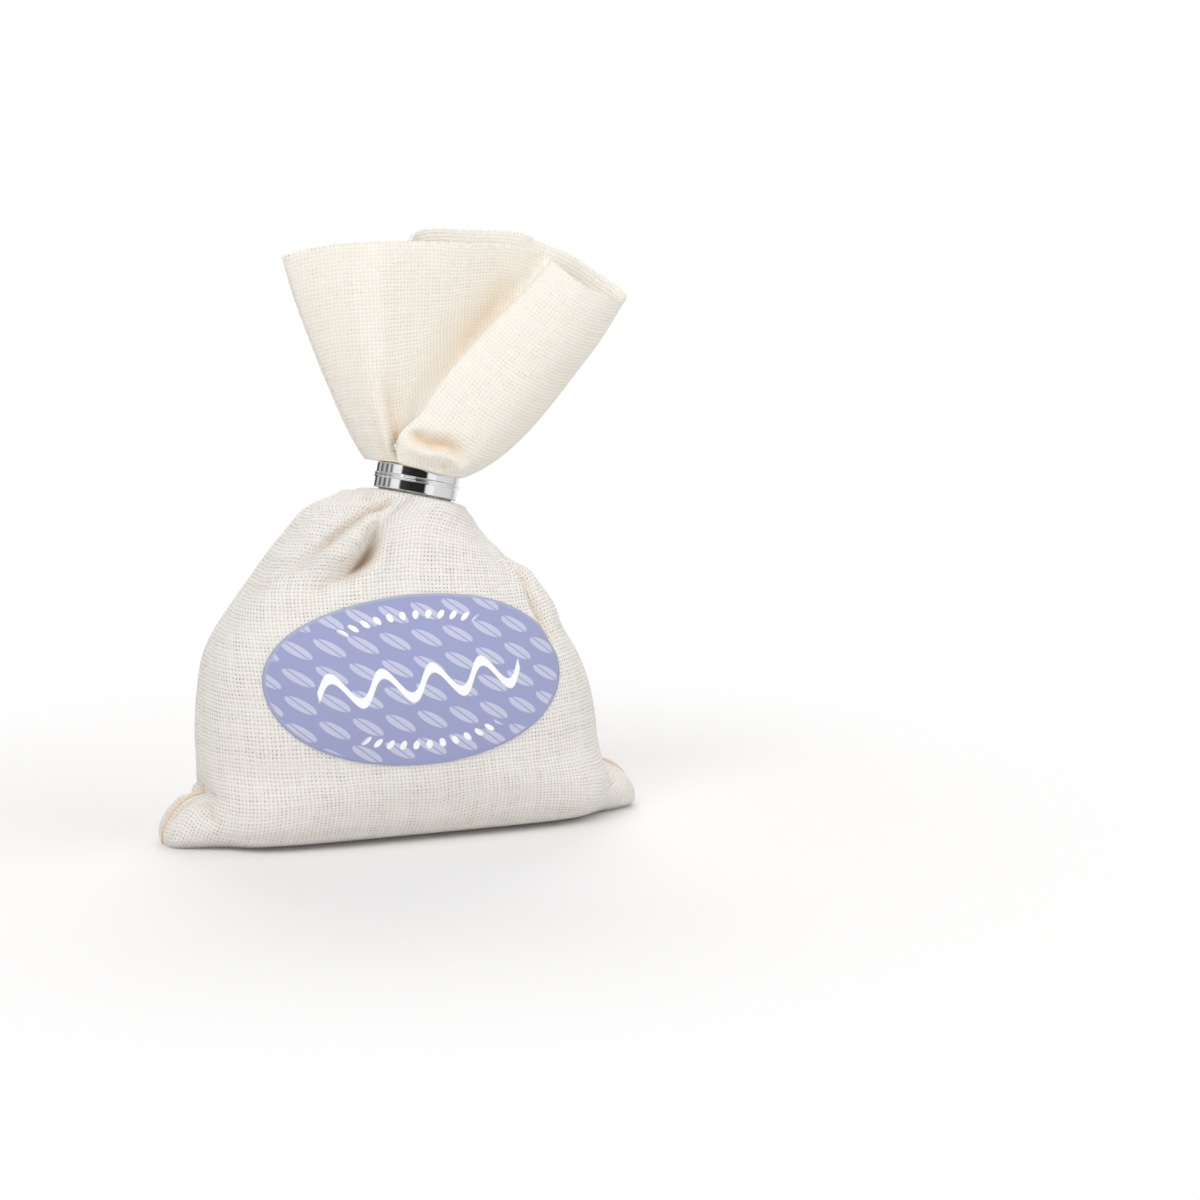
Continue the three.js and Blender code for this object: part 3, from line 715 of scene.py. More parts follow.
def seams(form: SachetForm) -> tuple[Fold, ...]:
    """The fine grooves where the two panels are sewn together at the sides.

    Args:
        form: the bag's form.

    Returns:
        The folds of both sides.
    """
    folds = []
    for p in (0.0, 0.5):
        for low, high in SEAM_STRETCHES:
            v = np.linspace(low, high, SEAM_STEPS)
            line = as_line(form.surface(np.full_like(v, p), v))
            sector = (p - SEAM_SECTOR, p + SEAM_SECTOR)
            folds.append(replace(SEAM_GROOVE, line=line, region=(low, high), sector=sector))
    return tuple(folds)


# Meshes and node trees

def new_object(name: str, vertices: Array, faces: list, material: Material | None = None) -> Object:
    """Makes a smooth object at the origin, with its place in its mesh.

    Args:
        name: name of the object and its mesh.
        vertices: points in millimetres.
        faces: lists of vertex numbers.
        material: its finish, where it has one from the start.

    Returns:
        The object, linked to the scene.
    """
    mesh = bpy.data.meshes.new(name)
    mesh.from_pydata((np.asarray(vertices) * MM).tolist(), [], faces)
    mesh.polygons.foreach_set("use_smooth", [True] * len(mesh.polygons))
    mesh.update()
    if material:
        mesh.materials.append(material)
    thing = bpy.data.objects.new(name, mesh)
    bpy.context.scene.collection.objects.link(thing)
    return thing


def add_attribute(thing: Object, name: str, values: Array) -> None:
    """Stores one number per vertex for the materials."""
    layer = thing.data.attributes.new(name, "FLOAT", "POINT")
    layer.data.foreach_set("value", np.asarray(values, dtype=np.float32).ravel())


def add_uv(thing: Object, name: str, corners: Array) -> None:
    """Stores a UV map, one pair of numbers per face corner."""
    layer = thing.data.uv_layers.new(name=name)
    layer.data.foreach_set("uv", np.asarray(corners, dtype=np.float32).ravel())


def grid_faces(rows: int, columns: int) -> Array:
    """Quads of a grid of points whose last column joins the first.

    Args:
        rows: rows of points.
        columns: points in a row.

    Returns:
        Four vertex numbers per face.
    """
    j, i = np.meshgrid(np.arange(rows - 1), np.arange(columns), indexing="ij")
    after = (i + 1) % columns
    quads = [j * columns + i, j * columns + after, (j + 1) * columns + after, (j + 1) * columns + i]
    return np.stack(quads, axis=-1).reshape(-1, 4)


@dataclass(frozen=True)
class Graph:
    """Short calls that build a node tree."""
    tree: Tree

    def put(self, socket: Socket, value: object) -> None:
        """Links a socket, or sets its constant.

        Args:
            socket: input to fill.
            value: a socket to link, or a constant.
        """
        if isinstance(value, Socket):
            self.tree.links.new(value, socket)
        else:
            socket.default_value = value

    def fill(self, node: Node, inputs: dict) -> None:
        """Links or sets inputs of a node, by their names or numbers."""
        for name, value in inputs.items():
            self.put(node.inputs[name], value)

    def find(self, kind: str) -> Node:
        """Finds the tree's own node of a type."""
        return next(node for node in self.tree.nodes if node.type == kind)

    def add(self, kind: str, inputs: dict | None = None, **settings: object) -> Node:
        """Adds a node.

        Args:
            kind: type of the node.
            inputs: values or sockets by input name or number.
            settings: the node's own settings.

        Returns:
            The node.
        """
        node = self.tree.nodes.new(kind)
        for name, value in settings.items():
            setattr(node, name, value)
        self.fill(node, inputs or {})
        return node

    def math(self, operation: str, *values: object, clamp: bool = False) -> Socket:
        """Adds a math node.

        Args:
            operation: what it does.
            values: its inputs.
            clamp: whether the result stays within 0 and 1.

        Returns:
            The result.
        """
        node = self.tree.nodes.new("ShaderNodeMath")
        node.operation = operation
        node.use_clamp = clamp
        for socket, value in zip(node.inputs, values):
            self.put(socket, value)
        return node.outputs[0]

    def mix(self, share: object, first: object, second: object) -> Socket:
        """Mixes two colours.

        Args:
            share: 0 for the first to 1 for the second.
            first: colour or socket.
            second: colour or socket.

        Returns:
            The mixed colour.
        """
        node = self.add("ShaderNodeMix", {"Factor": share}, data_type="RGBA")
        colours = [socket for socket in node.inputs if socket.type == "RGBA"]
        for socket, value in zip(colours, (first, second)):
            self.put(socket, value)
        return next(socket for socket in node.outputs if socket.type == "RGBA")

    def random(self, low: object, high: object, seed: object) -> Socket:
        """Adds a random value of a geometry tree.

        Args:
            low: lowest number, or vector.
            high: highest.
            seed: number that fixes the draw.

        Returns:
            The value.
        """
        data, kind = ("FLOAT_VECTOR", "VECTOR") if isinstance(low, tuple) else ("FLOAT", "VALUE")
        node = self.add("FunctionNodeRandomValue", {"Seed": seed}, data_type=data)
        ends = [socket for socket in node.inputs if socket.type == kind]
        for socket, value in zip(ends, (low, high)):
            self.put(socket, value)
        return next(socket for socket in node.outputs if socket.type == kind)

    def ramp(self, value: object, low: float, high: float) -> Socket:
        """Eases a value from 0 at low to 1 at high."""
        inputs = {"Value": value, "From Min": low, "From Max": high}
        return self.add("ShaderNodeMapRange", inputs, interpolation_type="SMOOTHSTEP").outputs["Result"]


def grow(thing: Object, tree: Tree, values: dict[str, object]) -> Object:
    """Runs a geometry tree on an object and keeps the result as its plain mesh.

    Args:
        thing: object that the tree starts from.
        tree: the geometry tree.
        values: values by input name.

    Returns:
        The object.
    """
    modifier = thing.modifiers.new(tree.name, "NODES")
    modifier.node_group = tree
    for item in tree.interface.items_tree:
        if item.item_type == "SOCKET" and item.in_out == "INPUT" and item.name in values:
            modifier[item.identifier] = values[item.name]
    depsgraph = bpy.context.evaluated_depsgraph_get()
    mesh = bpy.data.meshes.new_from_object(thing.evaluated_get(depsgraph), preserve_all_data_layers=True,
                                           depsgraph=depsgraph)
    thing.modifiers.clear()
    thing.data = mesh
    return thing


def node_group(kind: TreeKind, name: str, inputs: dict, outputs: dict) -> tuple[Graph, dict, dict]:
    """Starts a node group.

    Args:
        kind: what its nodes make.
        name: name of the group.
        inputs: kinds of socket by input name, such as Float.
        outputs: kinds of socket by output name.

    Returns:
        The group's graph, its inputs' sockets by name, and its output node's sockets by name.
    """
    tree = bpy.data.node_groups.new(name, kind.value)
    for way, sockets in (("INPUT", inputs), ("OUTPUT", outputs)):
        for label, socket in sockets.items():
            tree.interface.new_socket(label, in_out=way, socket_type=f"NodeSocket{socket}")
    graph = Graph(tree)
    start, end = graph.add("NodeGroupInput"), graph.add("NodeGroupOutput")
    return graph, {key: start.outputs[key] for key in inputs}, {key: end.inputs[key] for key in outputs}


def new_material(name: str) -> tuple[Material, Graph, Node]:
    """Starts a material with its main shader linked.

    Args:
        name: name of the material.

    Returns:
        The material, its graph and its Principled shader.
    """
    material = bpy.data.materials.new(name)
    material.use_nodes = True
    graph = Graph(material.node_tree)
    return material, graph, graph.find("BSDF_PRINCIPLED")


def rgb(red: float, green: float, blue: float) -> Colour:
    """A display colour as the linear colour that the shaders take.

    Args:
        red: 0 to 255.
        green: 0 to 255.
        blue: 0 to 255.

    Returns:
        Linear red, green, blue and full alpha.
    """
    shares = [channel / 255 for channel in (red, green, blue)]
    linear = [c / 12.92 if c <= 0.04045 else ((c + 0.055) / 1.055) ** 2.4 for c in shares]
    return (*linear, 1.0)


# Finishes

class WeaveGroup:
    """Plain weave of uneven threads, as a shader node group."""
    NAME = "plain_weave"
    WANDER_SCALE = 140.0
    SWAY = 0.9
    RUN_STEP = 3.71
    RUN_STRETCH = 0.13
    SPREAD = (0.11, -0.065)
    SWELL = 0.24
    DOME_POWER = 2.5
    LIFT = 0.7
    OVER = 0.3
    SLUB_TONE = 0.8
    THREAD_EDGE = (-0.04, 0.05)
    OPEN_FROM = (0.05, 0.8)
    OPEN_LEAST = 0.3
    WARP_SEED = 0.37
    WEFT_SEED = 71.9
    EVEN_OFFSET = 4000.0

    @classmethod
    def tree(cls) -> Tree:
        """The group, made at its first use.

        Returns:
            The node group with Height, Gap and Tone outputs.
        """
        if cls.NAME in bpy.data.node_groups:
            return bpy.data.node_groups[cls.NAME]
        inputs = {"UV": "Vector", "Pitch": "Float", "Thread": "Float"}
        outputs = {key: "Float" for key in ("Height", "Gap", "Tone")}
        graph, given, result = node_group(TreeKind.SHADER, cls.NAME, inputs, outputs)
        calc = graph.math
        wander = graph.add("ShaderNodeTexNoise", {
            "Vector": given["UV"], "Scale": cls.WANDER_SCALE, "Detail": 2.0})
        drift = graph.add("ShaderNodeSeparateColor", {"Color": wander.outputs["Color"]})
        place = graph.add("ShaderNodeSeparateXYZ", {"Vector": given["UV"]})
        threads = []
        for axis, channel in (("X", "Red"), ("Y", "Green")):
            sway = calc("MULTIPLY_ADD", drift.outputs[channel], cls.SWAY, -cls.SWAY / 2)
            count = calc("ADD", calc("DIVIDE", place.outputs[axis], given["Pitch"]), sway)
            index = calc("FLOOR", count)
            threads.append((count, index, calc("SUBTRACT", calc("SUBTRACT", count, index), 0.5)))
        (warp_count, warp, across), (weft_count, weft, along) = threads
        parity = calc("MODULO", calc("ADD", calc("ADD", warp, weft), cls.EVEN_OFFSET), 2.0)
        sign = calc("MULTIPLY_ADD", parity, -2.0, 1.0)
        heights, covers, tones = [], [], []
        for index, other, inside, outside, seed, over in (
                (warp, weft_count, across, along, cls.WARP_SEED, cls.OVER),
                (weft, warp_count, along, across, cls.WEFT_SEED, -cls.OVER)):
            own = graph.add("ShaderNodeTexWhiteNoise", {"W": calc("ADD", index, seed)}, noise_dimensions="1D")
            own = own.outputs["Value"]
            run = graph.add("ShaderNodeCombineXYZ", {
                "X": calc("MULTIPLY_ADD", index, cls.RUN_STEP, seed),
                "Y": calc("MULTIPLY", other, cls.RUN_STRETCH)})
            slub = graph.add("ShaderNodeTexNoise", {
                "Vector": run.outputs["Vector"], "Scale": 1.0, "Detail": 2.0}).outputs["Fac"]
            spread = calc("MULTIPLY_ADD", own, *cls.SPREAD)
            swell = calc("MULTIPLY_ADD", slub, cls.SWELL, -cls.SWELL / 2)
            half = calc("ADD", calc("ADD", given["Thread"], spread), swell)
            flat = calc("POWER", calc("ABSOLUTE", calc("DIVIDE", inside, half)), cls.DOME_POWER)
            dome = calc("SQRT", calc("MAXIMUM", calc("SUBTRACT", 1.0, flat), 0.0))
            arch = calc("COSINE", calc("MULTIPLY", outside, math.pi))
            lift = calc("MULTIPLY_ADD", calc("MULTIPLY", sign, arch), over, cls.LIFT)
            heights.append(calc("MULTIPLY", dome, lift))
            margin = calc("SUBTRACT", half, calc("ABSOLUTE", inside))
            covers.append(graph.ramp(margin, *cls.THREAD_EDGE))
            faint = calc("MULTIPLY", own, 1.0 - cls.SLUB_TONE)
            tones.append(calc("MULTIPLY_ADD", slub, cls.SLUB_TONE, faint))
        on_top = calc("GREATER_THAN", *heights)
        tone = graph.add("ShaderNodeMix", {"Factor": on_top, "A": tones[1], "B": tones[0]})
        corner = graph.add("ShaderNodeCombineXYZ", {
            "X": calc("ROUND", warp_count), "Y": calc("ROUND", weft_count)}).outputs["Vector"]
        chance = graph.add("ShaderNodeTexWhiteNoise", {"Vector": corner}, noise_dimensions="2D")
        chance = graph.ramp(chance.outputs["Value"], *cls.OPEN_FROM)
        open_share = calc("MULTIPLY_ADD", chance, 1.0 - cls.OPEN_LEAST, cls.OPEN_LEAST)
        gap = calc("SUBTRACT", 1.0, calc("MAXIMUM", *covers), clamp=True)
        gap = calc("MULTIPLY", gap, open_share)
        for name, value in zip(outputs, (calc("MAXIMUM", *heights), gap, tone.outputs["Result"])):
            graph.put(result[name], value)
        return graph.tree


@dataclass(frozen=True)
class LinenFinish:
    """Natural linen in an open plain weave, with painted light and shade: the collar painted lighter for
    light shining through, and shade painted in creases, holes and between threads.
    """
    name: str = "linen"
    pitch: float = 0.78 * MM
    thread: float = 0.405
    light: Colour = rgb(243, 240, 236)
    deep: Colour = rgb(230, 226, 220)
    # The collar's colours here are painted lighter and warmer for light shining through the thin cloth; the
    # holes are painted dark on the bag for the shaded lavender behind them, and the shade and hollow colours
    # are painted shade
    backlit_light: Colour = rgb(255, 252, 245)
    backlit_deep: Colour = rgb(253, 247, 237)
    gap: Colour = rgb(104, 80, 54)
    backlit_gap: Colour = rgb(220, 196, 156)
    backlit_shade: Colour = rgb(240, 206, 158)
    shade: Colour = rgb(210, 168, 120)
    slub: Colour = rgb(226, 214, 196)
    between: Colour = rgb(206, 199, 188)
    backlit_between: Colour = rgb(251, 242, 227)
    relief: float = 0.25 * MM
    slub_from: Pair = (0.62, 0.8)
    slub_share: float = 0.4
    slub_less_on_collar: float = 0.3
    low_from: Pair = (0.25, 0.85)
    between_share: float = 0.45
    gap_share: float = 0.85
    edge_share: float = 0.5
    crease_share: float = 0.6
    collar_glow: float = 0.12

    def build(self) -> Material:
        """Makes the material.

        Returns:
            The material, which reads the UV map cloth and the attributes collar, edge and crease.
        """
        material, graph, shader = new_material(self.name)
        calc, mix = graph.math, graph.mix
        place = graph.add("ShaderNodeUVMap", uv_map="cloth").outputs["UV"]
        weave = graph.add("ShaderNodeGroup", node_tree=WeaveGroup.tree())
        graph.fill(weave, {"UV": place, "Pitch": self.pitch, "Thread": self.thread})
        height, gap, tone = (weave.outputs[name] for name in ("Height", "Gap", "Tone"))
        collar, edge, crease = (graph.add("ShaderNodeAttribute", attribute_name=name).outputs["Fac"]
                                for name in ("collar", "edge", "crease"))
        # Thread tones differ at random; on the collar they are painted lighter for light shining through
        cool = mix(tone, self.deep, self.light)
        backlit = mix(tone, self.backlit_deep, self.backlit_light)
        threads = mix(collar, cool, backlit)
        most = calc("MULTIPLY_ADD", collar, -self.slub_less_on_collar, self.slub_share)
        threads = mix(calc("MULTIPLY", graph.ramp(tone, *self.slub_from), most), threads, self.slub)
        # Painted shade in the hollows between threads, where the weave sits low
        low = calc("SUBTRACT", 1.0, graph.ramp(height, *self.low_from))
        sunk = mix(collar, self.between, self.backlit_between)
        threads = mix(calc("MULTIPLY", low, self.between_share), threads, sunk)
        # Holes painted dark on the bag for the shaded lavender behind them, and light on the collar for light
        # shining through
        holes = mix(collar, self.gap, self.backlit_gap)
        colour = mix(calc("MULTIPLY", gap, self.gap_share), threads, holes)
        colour = mix(calc("MULTIPLY", edge, self.edge_share), colour, self.backlit_light)
        # Painted shade in creases, by the crease attribute
        deep = mix(collar, self.shade, self.backlit_shade)
        colour = mix(calc("MULTIPLY", crease, self.crease_share), colour, deep)
        bump = graph.add("ShaderNodeBump", {"Height": height, "Strength": 0.6, "Distance": self.relief})
        graph.fill(shader, {"Base Color": colour, "Roughness": 0.92, "Normal": bump.outputs["Normal"],
                            "Specular IOR Level": 0.15, "Sheen Weight": 0.2, "Sheen Roughness": 0.6})
        glow = graph.add("ShaderNodeBsdfTranslucent", {"Color": colour}).outputs["BSDF"]
        share = calc("MULTIPLY", collar, self.collar_glow)
        both = graph.add("ShaderNodeMixShader", {0: share, 1: shader.outputs["BSDF"], 2: glow})
        graph.put(graph.find("OUTPUT_MATERIAL").inputs["Surface"], both.outputs["Shader"])
        return material


@dataclass(frozen=True)
class ChromeFinish:
    """Polished metal with a trace of fine scratches."""
    name: str = "chrome"
    colour: Colour = (0.86, 0.86, 0.87, 1.0)
    roughness: float = 0.03
    wear: float = 0.08
    wear_scale: float = 900.0

    def build(self) -> Material:
        """Makes the material.

        Returns:
            The material.
        """
        material, graph, shader = new_material(self.name)
        place = graph.add("ShaderNodeTexCoord").outputs["Object"]
        wear = graph.add("ShaderNodeTexNoise", {"Vector": place, "Scale": self.wear_scale, "Detail": 3.0})
        rough = graph.math("MULTIPLY_ADD", wear.outputs["Fac"], self.wear, self.roughness)
        graph.fill(shader, {"Base Color": self.colour, "Metallic": 1.0, "Roughness": rough})
        return material


@dataclass(frozen=True)
class LabelPrint:
    """Masks of the label's print, for a place in millimetres from the label's middle."""
    graph: Graph
    x: Socket
    y: Socket
    half_width: float = 31.0
    half_height: float = 16.5
    leaf_slant: float = 0.45
    leaf_column: float = 6.4
    leaf_row: float = 5.2
    leaf_lean: float = 0.5
    leaf_size: Pair = (0.30, 0.40)
    leaf_edge: Pair = (0.75, 1.0)
    leaf_vein: Pair = (0.012, 0.05)
    wave_beat: float = 0.62
    wave_swing: float = 2.6
    wave_drop: float = 0.6
    wave_edge: Pair = (0.85, 1.15)
    wave_end: Pair = (20.6, 21.0)
    dot_beat: float = 9.0
    dot_reach: float = 0.76
    dot_size: Pair = (0.26, 0.055)
    dot_edge: Pair = (0.7, 1.1)
    dot_arc: Pair = (0.80, 0.84)

    def square(self, value: object, size: float) -> Socket:
        """Square of a length as a share of a size."""
        share = self.graph.math("DIVIDE", value, size)
        return self.graph.math("MULTIPLY", share, share)

    def below(self, value: object, low: float, high: float) -> Socket:
        """Eases a value from 1 at low to 0 at high."""
        return self.graph.math("SUBTRACT", 1.0, self.graph.ramp(value, low, high))

    def reach(self) -> Socket:
        """Share of the way from the middle to the edge."""
        squares = self.square(self.x, self.half_width), self.square(self.y, self.half_height)
        return self.graph.math("SQRT", self.graph.math("ADD", *squares))

    def sprigs(self) -> Socket:
        """Pale oval leaves on a staggered lattice.

        Returns:
            Mask of the leaves.
        """
        calc = self.graph.math
        slant = calc("MULTIPLY_ADD", self.y, self.leaf_slant, self.x)
        row = calc("DIVIDE", self.y, self.leaf_row)
        shift = calc("MULTIPLY", calc("FLOOR", row), 0.5)
        column = calc("ADD", calc("DIVIDE", slant, self.leaf_column), shift)
        across, up = (calc("SUBTRACT", calc("FRACT", place), 0.5) for place in (column, row))
        lean = calc("MULTIPLY_ADD", up, self.leaf_lean, across)
        oval = calc("ADD", self.square(lean, self.leaf_size[0]), self.square(up, self.leaf_size[1]))
        vein = self.graph.ramp(calc("ABSOLUTE", lean), *self.leaf_vein)
        return calc("MULTIPLY", self.below(oval, *self.leaf_edge), vein)

    def wave(self) -> Socket:
        """A white wavy ribbon across the middle.

        Returns:
            Mask of the ribbon.
        """
        calc = self.graph.math
        swing = calc("MULTIPLY", calc("SINE", calc("MULTIPLY", self.x, self.wave_beat)), self.wave_swing)
        off = calc("ABSOLUTE", calc("SUBTRACT", calc("ADD", self.y, self.wave_drop), swing))
        ends = self.below(calc("ABSOLUTE", self.x), *self.wave_end)
        return calc("MULTIPLY", self.below(off, *self.wave_edge), ends)

    def dots(self) -> Socket:
        """White dots on two arcs inside the label's edge.

        Returns:
            Mask of the dots.
        """
        calc = self.graph.math
        up, right = calc("DIVIDE", self.y, self.half_height), calc("DIVIDE", self.x, self.half_width)
        angle = calc("ARCTAN2", up, right)
        beat = calc("SUBTRACT", calc("FRACT", calc("MULTIPLY", angle, self.dot_beat)), 0.5)
        off = calc("SUBTRACT", self.reach(), self.dot_reach)
        dot = calc("ADD", self.square(beat, self.dot_size[0]), self.square(off, self.dot_size[1]))
        upright = self.graph.ramp(calc("ABSOLUTE", calc("SINE", angle)), *self.dot_arc)
        return calc("MULTIPLY", self.below(dot, *self.dot_edge), upright)


@dataclass(frozen=True)
class LabelFinish:
    """Printed sticker: periwinkle ground with pale leaves, a white wave and two arcs of dots."""
    name: str = "label_print"
    ground: Colour = rgb(156, 161, 200)
    pale: Colour = rgb(205, 208, 227)
    white: Colour = rgb(246, 247, 251)
    border: Colour = rgb(172, 178, 210)
    border_from: Pair = (0.965, 0.985)
    leaf_share: float = 0.8
    gap_share: float = 0.12
    pitch: float = 0.78 * MM
    thread: float = 0.42

    def build(self) -> Material:
        """Makes the material.

        Returns:
            The material, which reads the UV map print in millimetres from the label's middle.
        """
        material, graph, shader = new_material(self.name)
        place = graph.add("ShaderNodeUVMap", uv_map="print").outputs["UV"]
        sides = graph.add("ShaderNodeSeparateXYZ", {"Vector": place}).outputs
        masks = LabelPrint(graph, sides["X"], sides["Y"])
        colour = graph.mix(graph.math("MULTIPLY", masks.sprigs(), self.leaf_share), self.ground, self.pale)
        for mask in (masks.wave(), masks.dots()):
            colour = graph.mix(mask, colour, self.white)
        colour = graph.mix(graph.ramp(masks.reach(), *self.border_from), colour, self.border)
        scaled = graph.add("ShaderNodeVectorMath", {0: place, "Scale": MM}, operation="SCALE")
        weave = graph.add("ShaderNodeGroup", node_tree=WeaveGroup.tree())
        graph.fill(weave, {"UV": scaled.outputs["Vector"], "Pitch": self.pitch, "Thread": self.thread})
        colour = graph.mix(graph.math("MULTIPLY", weave.outputs["Gap"], self.gap_share), colour, self.ground)
        bump = graph.add("ShaderNodeBump", {
            "Height": weave.outputs["Height"], "Strength": 0.35, "Distance": 0.08 * MM})
        graph.fill(shader, {"Base Color": colour, "Roughness": 0.62, "Normal": bump.outputs["Normal"],
                            "Specular IOR Level": 0.3})
        return material


@dataclass(frozen=True)
class LavenderFinish:
    """Dried buds: grey violet, with straw and green tones from bud to bud."""
    name: str = "lavender"
    violet: Colour = rgb(104, 98, 118)
    straw: Colour = rgb(146, 126, 98)
    rib_scale: float = 420.0
    rib_share: float = 0.7
    tone_share: float = 0.5

    def build(self) -> Material:
        """Makes the material.

        Returns:
            The material, which reads the attribute tone where there is one.
        """
        material, graph, shader = new_material(self.name)
        place = graph.add("ShaderNodeTexCoord").outputs["Object"]
        ribs = graph.add("ShaderNodeTexNoise", {"Vector": place, "Scale": self.rib_scale, "Detail": 4.0})
        ribs = ribs.outputs["Fac"]
        tone = graph.add("ShaderNodeAttribute", attribute_name="tone").outputs["Fac"]
        own = graph.math("MULTIPLY", tone, self.tone_share)
        share = graph.math("MULTIPLY_ADD", ribs, self.rib_share, own, clamp=True)
        bump = graph.add("ShaderNodeBump", {"Height": ribs, "Strength": 0.5, "Distance": 0.2 * MM})
        graph.fill(shader, {"Base Color": graph.mix(share, self.violet, self.straw), "Roughness": 0.95,
                            "Normal": bump.outputs["Normal"]})
        return material


@dataclass(frozen=True)
class ThreadFinish:
    """Twisted sewing thread, or a loose fibre of the cloth."""
    name: str = "thread"
    light: Colour = rgb(246, 240, 229)
    deep: Colour = rgb(226, 214, 194)
    twist_scale: float = 900.0

    def build(self) -> Material:
        """Makes the material.

        Returns:
            The material.
        """
        material, graph, shader = new_material(self.name)
        place = graph.add("ShaderNodeTexCoord").outputs["Object"]
        twist = graph.add("ShaderNodeTexWave", {
            "Vector": place, "Scale": self.twist_scale, "Distortion": 1.5}, bands_direction="DIAGONAL")
        twist = twist.outputs["Fac"]
        bump = graph.add("ShaderNodeBump", {"Height": twist, "Strength": 0.4, "Distance": 0.05 * MM})
        graph.fill(shader, {"Base Color": graph.mix(twist, self.deep, self.light), "Roughness": 0.85,
                            "Normal": bump.outputs["Normal"]})
        return material


# Pieces

@dataclass
class BagCloth:
    """The bag's linen: one lofted sheet from the bottom seam to the rim, and the collar's inside."""
    form: SachetForm
    even_columns: int = 320
    beside_seam: tuple[float, ...] = (0.00015, 0.0004, 0.0009, 0.0018)
    base_rows: int = 8
    bag_rows: int = 116
    neck_rows: int = 6
    neck_end: float = 1.999
    collar_rows: int = 84
    rim_rows: int = 4
    inside_rows: int = 40
    unevenness: float = 0.3
    noise_scale: float = 0.09
    uneven_from: Pair = (0.02, 0.2)
    held_until: Pair = (0.5, 0.525)
    collar_from: Pair = (1.4, 1.9)
    left_lobe: float = 0.10
    right_lobe: float = 0.36
    level_row: float = 0.3
    thin_rim: float = 0.15
    thin_near_seam: float = 0.02
    bunch_until: float = 2.12
    panel_gap: float = 300.0
    edge_width: float = 0.9
    points: Array = field(init=False)
    walked: Array = field(init=False)
    across: Array = field(init=False)
    upward: Array = field(init=False)
    rows: Array = field(init=False)
    crease: Array = field(init=False)
    places: Array = field(init=False)
    columns: int = field(init=False)

    def __post_init__(self) -> None:
        """Lays out the cloth's outside and measures it."""
        self.rows = np.concatenate([
            np.linspace(-1, 0, self.base_rows, endpoint=False),
            0.5 - 0.5 * np.cos(np.linspace(0, math.pi, self.bag_rows, endpoint=False)),
            np.linspace(1, self.neck_end, self.neck_rows),
            np.linspace(2, 3, self.collar_rows),
        ])
        extra = np.array(self.beside_seam)
        even = np.arange(self.even_columns // 2) / self.even_columns
        panel = np.sort(np.concatenate([even, extra, 0.5 - extra]))
        self.places = np.concatenate([panel, panel + 0.5])
        self.columns = len(self.places)
        p, v = np.meshgrid(self.places, self.rows)
        smooth = self.form.surface(p, v)
        normals = self.normals(smooth)
        flat, up, place, height = smooth.reshape(-1, 3), normals.reshape(-1, 3), p.ravel(), v.ravel()
        folds = BODY_FOLDS + COLLAR_FOLDS + corner_grooves()
        folds += lobe_edge(self.form) + gathers(self.form) + seams(self.form)
        each = [fold.moves(flat, up, place, height) for fold in folds]
        moves = sum(fold.shift(move, up) for fold, move in zip(folds, each))
        rough = np.array([noise.noise(Vector(point) * self.noise_scale) for point in flat])
        free = smoothstep(height, *self.uneven_from)
        held = smoothstep(np.abs(height - RING_MIDDLE), *self.held_until)
        moves = (moves + up * (self.unevenness * rough * free)[:, None]) * held[:, None]
        # Painted shade: each valley darkens the cloth's colour by its depth, kept as the crease attribute
        dark = sum(-move * fold.shade_per_mm for move, fold in zip(each, folds) if fold.kind is FoldKind.VALLEY)
        self.crease = np.clip(dark, 0.0, 1.0).reshape(v.shape)
        self.points = smooth + moves.reshape(smooth.shape)
        self.measure()

    @staticmethod
    def normals(grid: Array) -> Array:
        """Directions out of a grid whose columns close on themselves."""
        round_way = np.roll(grid, -1, axis=1) - np.roll(grid, 1, axis=1)
        return unit(np.cross(round_way, np.gradient(grid, axis=0)))

    def measure(self) -> None:
        """Measures the cloth across from a panel's middle or a lobe, and up from a level row or the rim."""
        self.walked = walked = way_along(np.concatenate([self.points, self.points[:, :1]], axis=1), axis=1)
        half = self.columns // 2
        quarter = self.columns // 4
        front = walked[:, :half + 1] - walked[:, quarter:quarter + 1]
        back = walked[:, half:] - walked[:, half + quarter:half + quarter + 1]
        above = self.rows > RING_MIDDLE
        left, ridge = np.searchsorted(self.places, (self.left_lobe, self.right_lobe))
        inner = (left + ridge) // 2 + (ridge - left) // 3
        front[above, :inner] = (walked[:, :inner] - walked[:, left:left + 1])[above]
        front[above, inner:] = (walked[:, inner:half + 1] - walked[:, ridge:ridge + 1])[above]
        self.across = np.stack([front, back])
        climbed = way_along(self.points)
        level = int(np.argmin(np.abs(self.rows - self.level_row)))
        self.upward = climbed - np.where(above[:, None], climbed[-1], climbed[level])

    def at(self, column: Array, row: Array) -> Array:
        """Points between the grid's points.

        Args:
            column: places along the rows, in columns.
            row: places up the columns, in rows.

        Returns:
            Points of the cloth's outside.
        """
        i, j = np.floor(column).astype(int), np.floor(row).astype(int)
        s, t = (column - i)[..., None], (row - j)[..., None]
        left, right = i % self.columns, (i + 1) % self.columns
        rows = [np.clip(j + step, 0, len(self.rows) - 1) for step in (0, 1)]
        low, high = (self.points[k, left] * (1 - s) + self.points[k, right] * s for k in rows)
        return low * (1 - t) + high * t

